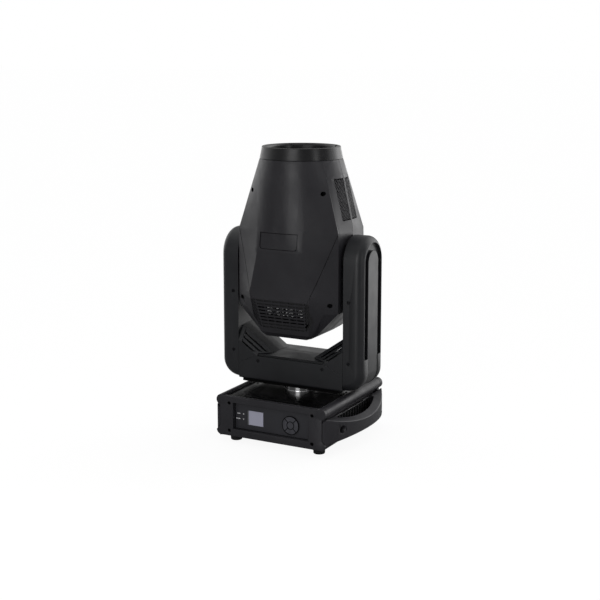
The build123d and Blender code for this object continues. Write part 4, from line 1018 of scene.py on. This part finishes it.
class LIGHT_OT_rear_sockets(PieceOperator, bpy.types.Operator):
    """Finish the sockets and the fuse holder at the rear"""

    bl_idname = "moving_head.rear_sockets"
    bl_label = "Rear sockets"

    def execute(self, context):
        carried("frame", "rear_sockets")
        return {"FINISHED"}


class LIGHT_OT_base_electronics(PieceOperator, bpy.types.Operator):
    """Finish the power supply and the circuit boards"""

    bl_idname = "moving_head.base_electronics"
    bl_label = "Base electronics"

    def execute(self, context):
        carried("steel", "power_supply")
        carried("board", "main_board", "keypad_board")
        return {"FINISHED"}


class LIGHT_OT_pan_drive(PieceOperator, bpy.types.Operator):
    """Finish the bright ring and the pan and tilt drives"""

    bl_idname = "moving_head.pan_drive"
    bl_label = "Ring and drives"

    def execute(self, context):
        softened("pan_ring", "pan_ring_tube", "ring", sizes().fine_round)
        edge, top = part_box("pan_ring")[1][0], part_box("top_plate")[1][2]
        inner, outer, below, above = WASHER
        tube_piece("pan_ring_washer", "top_plate", "ring", edge + inner, edge + outer,
                   top - below, top + above)
        carried("steel", "pan_bearing", "tilt_bearings", "drive_motors", "trunnions")
        carried("aluminium", "pan_spindle", "pan_pinion", "tilt_pinion", "tilt_pulley")
        carried("belt", "drive_belts")
        carried("frame", "yoke_frame")
        return {"FINISHED"}


class LIGHT_OT_crossbar(PieceOperator, bpy.types.Operator):
    """Round the crossbar's covers, finish the corner vents and set a near-black skirt below as painted shade
    """

    bl_idname = "moving_head.crossbar"
    bl_label = "Crossbar and corner vents"

    def execute(self, context):
        for node in ("crossbar_front_cover", "crossbar_rear_cover"):
            softened(node, f"{node}_moulding", "arms", 0.7 * sizes().edge_round, 24.0, 11.0)
        carried("arms", "gusset_vents")
        x, y, low, high = SKIRT
        x0, y0 = x - SKIRT_WALL, y - SKIRT_WALL
        # near-black box walls under the crossbar: painted shade between the crossbar and the top plate
        block_piece("crossbar_skirt", "crossbar_front_cover", "painted_shade",
                    (-x, x, -y, -y0, low, high), (-x, x, y0, y, low, high),
                    (-x, -x0, -y0, y0, low, high), (x0, x, -y0, y0, low, high))
        return {"FINISHED"}


class LIGHT_OT_arms(PieceOperator, bpy.types.Operator):
    """Finish the arm shells and their side plates"""

    bl_idname = "moving_head.arms"
    bl_label = "Arms"

    def execute(self, context):
        for node in ("arm_shell_right", "arm_shell_left"):
            softened(node, f"{node}_moulding", "arms", 0.7 * sizes().edge_round)
        softened("arm_plates", "arm_side_plates", "arms", 0.9 * sizes().edge_round)
        return {"FINISHED"}


class LIGHT_OT_head_covers(PieceOperator, bpy.types.Operator):
    """Finish the head's shells, shields, vents and nose"""

    bl_idname = "moving_head.head_covers"
    bl_label = "Head covers"

    def execute(self, context):
        for node in ("head_shell_front", "head_shell_rear", "front_shield", "rear_shield"):
            eased(node, f"{node}_moulding", "head")
        width, shift = VENT_BACKING
        # dark backing behind the diamond lattice; its near-black finish is painted shade in the openings
        backing = softened("vent_meshes", "vent_backings", "painted_shade", width)
        for vert in backing.data.vertices:
            vert.co.x -= shift if vert.co.x > 0 else -shift
        vent_lattice()
        grille_blades()
        grille_shades()
        head_seams()
        softened("nose_ring", "nose_moulding", "nose", 1.7 * sizes().edge_round, steps=3)
        softened("front_lens", "front_lens_glass", "glass", sizes().fine_round)
        return {"FINISHED"}


class LIGHT_OT_optics(PieceOperator, bpy.types.Operator):
    """Finish the chassis, lenses, wheels and cooling inside the head"""

    bl_idname = "moving_head.optics"
    bl_label = "Optics and cooling"

    def execute(self, context):
        carried("aluminium", "head_chassis")
        carried("ring", "heat_sink")
        carried("steel", "guide_rods", "wheel_motors")
        carried("frame", "focus_carriage", "zoom_carriage", "fan_frames", "fan_rotor_left",
                "fan_rotor_right")
        carried("glass", "focus_lens", "zoom_lens")
        carried("filter", "colour_wheel", "gobo_wheel")
        carried("engine", "led_engine")
        return {"FINISHED"}


class LIGHT_OT_screws(PieceOperator, bpy.types.Operator):
    """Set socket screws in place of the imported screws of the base, the yoke and the head"""

    bl_idname = "moving_head.screws"
    bl_label = "Screws"

    def execute(self, context):
        tree = screw_tree()
        for node, (finish, sunk) in SCREWS.items():
            places, aims, scales = [], [], []
            for low, high in solids_of(node):
                middle, size = (low + high) / 2, high - low
                axis = 0 if abs(size[1] - size[2]) < 0.0003 and size[0] > size[1] else 1
                aim = Vector((0.0, 0.0, 0.0))
                aim[axis] = 1.0 if middle[axis] > 0 else -1.0
                grow = size[2] / (2 * sizes().screw_radius)
                place = middle.copy()
                deeper = SIDEWAYS_SUNK if axis == 0 else sunk
                place[axis] += aim[axis] * (size[axis] / 2 - SCREW_HEIGHT / 2 * grow - deeper)
                places.append(place)
                aims.append(aim)
                scales.append(grow)
            screws(f"{node}_socketed", node, finish, places, aims, scales, tree, (node,))
        return {"FINISHED"}


class LIGHT_OT_studio(PieceOperator, bpy.types.Operator):
    """Set the floor, the soft lights and the camera"""

    bl_idname = "moving_head.studio"
    bl_label = "Studio"

    def execute(self, context):
        make_floor()
        make_world()
        make_lamps()
        make_camera()
        return {"FINISHED"}


GLOW_BEHIND = (0.25, 1.6, 0.75)   # distances behind the object where the glow starts and is full, and share
GLOW_LEVELS, GLOW_SHARE = (2.4, 1.07), 0.86   # in reflections and in plain view, and its share in plain view


def make_floor():
    """White floor that glows in plain view, and in reflections only behind the object."""
    settings = bpy.context.scene.studio_settings
    bm = bmesh.new()
    bmesh.ops.create_grid(bm, x_segments=1, y_segments=1, size=400.0)
    floor = from_bmesh("studio_floor", bm)
    shade = Shade("floor_white")
    rays = shade.add("ShaderNodeLightPath")
    seen = rays.outputs["Is Camera Ray"]
    drift = shade.span(shade.noise(1.3), 0.0, 1.0)
    pale = shade.mix(drift, (0.80, 0.80, 0.80), (0.82, 0.82, 0.82))
    shade.set(colour=shade.mix(seen, (settings.floor_tone,) * 3, pale), roughness=0.9, specular=0.1)
    along = shade.add("ShaderNodeSeparateXYZ", {"Vector": shade.place}).outputs["Y"]
    start, end, most = GLOW_BEHIND
    behind = shade.span(along, 0.0, most, start, end)
    reflected, plain = GLOW_LEVELS
    glow = shade.add("ShaderNodeEmission", {"Color": (1.0, 1.0, 1.0, 1.0),
                                            "Strength": shade.mix(seen, (reflected,) * 3, (plain,) * 3)})
    share = shade.add("ShaderNodeMix", {0: seen, 2: behind, 3: GLOW_SHARE})
    blend = shade.add("ShaderNodeMixShader", {0: share.outputs[0], 1: shade.shader.outputs[0],
                                              2: glow.outputs[0]})
    shade.feed(shade.tree.nodes["Material Output"].inputs[0], blend.outputs[0])
    floor.data.materials.append(shade.material)


# Strength of the light round the object: azimuth in degrees, measured from the front towards +X.
SURROUND = ((-180, 0.7), (-165, 0.45), (-138, 0.45), (-118, 1.0), (-80, 1.0), (-60, 0.2),
            (104, 0.2), (128, 1.1), (150, 2.4), (180, 1.0))
OVERHEAD = (0.55, 0.95, 0.5)   # heights of the way up where it starts and ends, and strength
STRIPS = {                     # azimuth in degrees, distance, width, height and watts
    "strip_front": (3.0, 1.65, 0.75, 1.7, 8.2),
    "strip_right": (69.0, 2.2, 0.45, 1.8, 4.0),
}
STRIP_LEVEL = 0.85
CAMERA_AIM = (-0.00319, 0.4038)   # sideways offset and height of the point that the camera looks at


def make_world():
    """Soft light that depends on the azimuth: broad and bright from the right, weak from the front."""
    settings = bpy.context.scene.studio_settings
    world = bpy.data.worlds.new("studio_world")
    bpy.context.scene.world = world
    world.use_nodes = True
    graph = Graph(world.node_tree)
    way = graph.add("ShaderNodeTexCoord").outputs["Generated"]
    split = graph.add("ShaderNodeSeparateXYZ", {0: way})
    front = graph.add("ShaderNodeMath", {0: split.outputs["Y"], 1: -1.0}, operation="MULTIPLY")
    angle = graph.add("ShaderNodeMath", {0: split.outputs["X"], 1: front.outputs[0]}, operation="ARCTAN2")
    share = graph.add("ShaderNodeMapRange", {"Value": angle.outputs[0], "From Min": -pi, "From Max": pi})
    ramp = graph.add("ShaderNodeValToRGB", {0: share.outputs[0]})
    ramp.color_ramp.interpolation = "EASE"
    stops = ramp.color_ramp.elements
    while len(stops) < len(SURROUND):
        stops.new(0.5)
    peak = max(strength for _, strength in SURROUND)
    for stop, (azimuth, strength) in zip(stops, SURROUND):
        stop.position = (azimuth + 180) / 360
        stop.color = (strength / peak,) * 3 + (1.0,)
    around = graph.add("ShaderNodeMath", {0: ramp.outputs[0], 1: peak * settings.level}, operation="MULTIPLY")
    overhead = graph.add("ShaderNodeMapRange", {"Value": split.outputs["Z"], "From Min": OVERHEAD[0],
                                                "From Max": OVERHEAD[1]}, interpolation_type="SMOOTHSTEP")
    level = graph.add("ShaderNodeMix", {0: overhead.outputs[0], 2: around.outputs[0],
                                        3: OVERHEAD[2] * settings.level})
    rays = graph.add("ShaderNodeLightPath").outputs
    seen = graph.add("ShaderNodeMath", {0: rays["Is Camera Ray"], 1: rays["Is Transmission Ray"]},
                     operation="MAXIMUM")
    strength = graph.add("ShaderNodeMix", {0: seen.outputs[0], 2: level.outputs[0], 3: 1.0})
    background = world.node_tree.nodes["Background"]
    graph.feed(background.inputs["Color"], (1.0, 1.0, 1.0, 1.0))
    graph.feed(background.inputs["Strength"], strength.outputs[0])


def make_lamps():
    """Upright rectangular soft lights that face the object."""
    for name, (azimuth, distance, width, height, watts) in STRIPS.items():
        data = bpy.data.lights.new(name, "AREA")
        data.shape = "RECTANGLE"
        data.size, data.size_y, data.energy = width, height, watts
        lamp = link(bpy.data.objects.new(name, data))
        way = Vector((sin(radians(azimuth)), -cos(radians(azimuth)), 0.0))
        lamp.location = Vector((0.0, 0.0, STRIP_LEVEL)) + way * distance
        lamp.rotation_euler = way.to_track_quat("Z", "Y").to_euler()


def make_camera():
    settings = bpy.context.scene.studio_settings
    azimuth, elevation = settings.azimuth, settings.elevation
    aside, height = CAMERA_AIM
    target = Vector((aside * cos(azimuth), aside * sin(azimuth), height))
    way = Vector((sin(azimuth) * cos(elevation), -cos(azimuth) * cos(elevation), sin(elevation)))
    data = bpy.data.cameras.new("camera")
    data.lens, data.sensor_width, data.shift_y = settings.lens, 36.0, settings.shift
    data.clip_end = 60.0
    camera = link(bpy.data.objects.new("camera", data))
    camera.location = target + way * settings.distance
    camera.rotation_euler = way.to_track_quat("Z", "Y").to_euler()
    bpy.context.scene.camera = camera
    bpy.context.scene.view_settings.view_transform = "Standard"


class LIGHT_PT_pieces(bpy.types.Panel):
    """Lists the pieces of the light"""

    bl_label = "Moving Head"
    bl_space_type = "VIEW_3D"
    bl_region_type = "UI"
    bl_category = "Moving Head"

    def draw(self, context):
        for operator in OPERATORS:
            self.layout.operator(operator.bl_idname)
        for group in (context.scene.light_sizes, context.scene.light_colours, context.scene.studio_settings):
            box = self.layout.box()
            for name in group.bl_rna.properties.keys():
                if name not in ("rna_type", "name"):
                    box.prop(group, name)


OPERATORS = (
    LIGHT_OT_base_frames, LIGHT_OT_side_handles, LIGHT_OT_base_plates, LIGHT_OT_front_panel,
    LIGHT_OT_keypad, LIGHT_OT_rear_sockets, LIGHT_OT_base_electronics, LIGHT_OT_pan_drive,
    LIGHT_OT_crossbar, LIGHT_OT_arms, LIGHT_OT_head_covers, LIGHT_OT_optics, LIGHT_OT_screws,
    LIGHT_OT_studio,
)
GROUPS = {"light_sizes": LightSizes, "light_colours": LightColours, "studio_settings": StudioSettings}


def register():
    for kind in (*GROUPS.values(), *OPERATORS, LIGHT_PT_pieces):
        bpy.utils.register_class(kind)
    for name, kind in GROUPS.items():
        setattr(bpy.types.Scene, name, PointerProperty(type=kind))


def unregister():
    for name in GROUPS:
        delattr(bpy.types.Scene, name)
    for kind in (LIGHT_PT_pieces, *reversed(OPERATORS), *GROUPS.values()):
        bpy.utils.unregister_class(kind)


def main():
    register()
    make_finishes()
    make_skins()
    for operator in OPERATORS:
        group, name = operator.bl_idname.split(".")
        result = getattr(getattr(bpy.ops, group), name)()
        if result != {"FINISHED"}:
            raise RuntimeError(f"{operator.bl_label} did not finish")


if __name__ == "__main__":
    main()
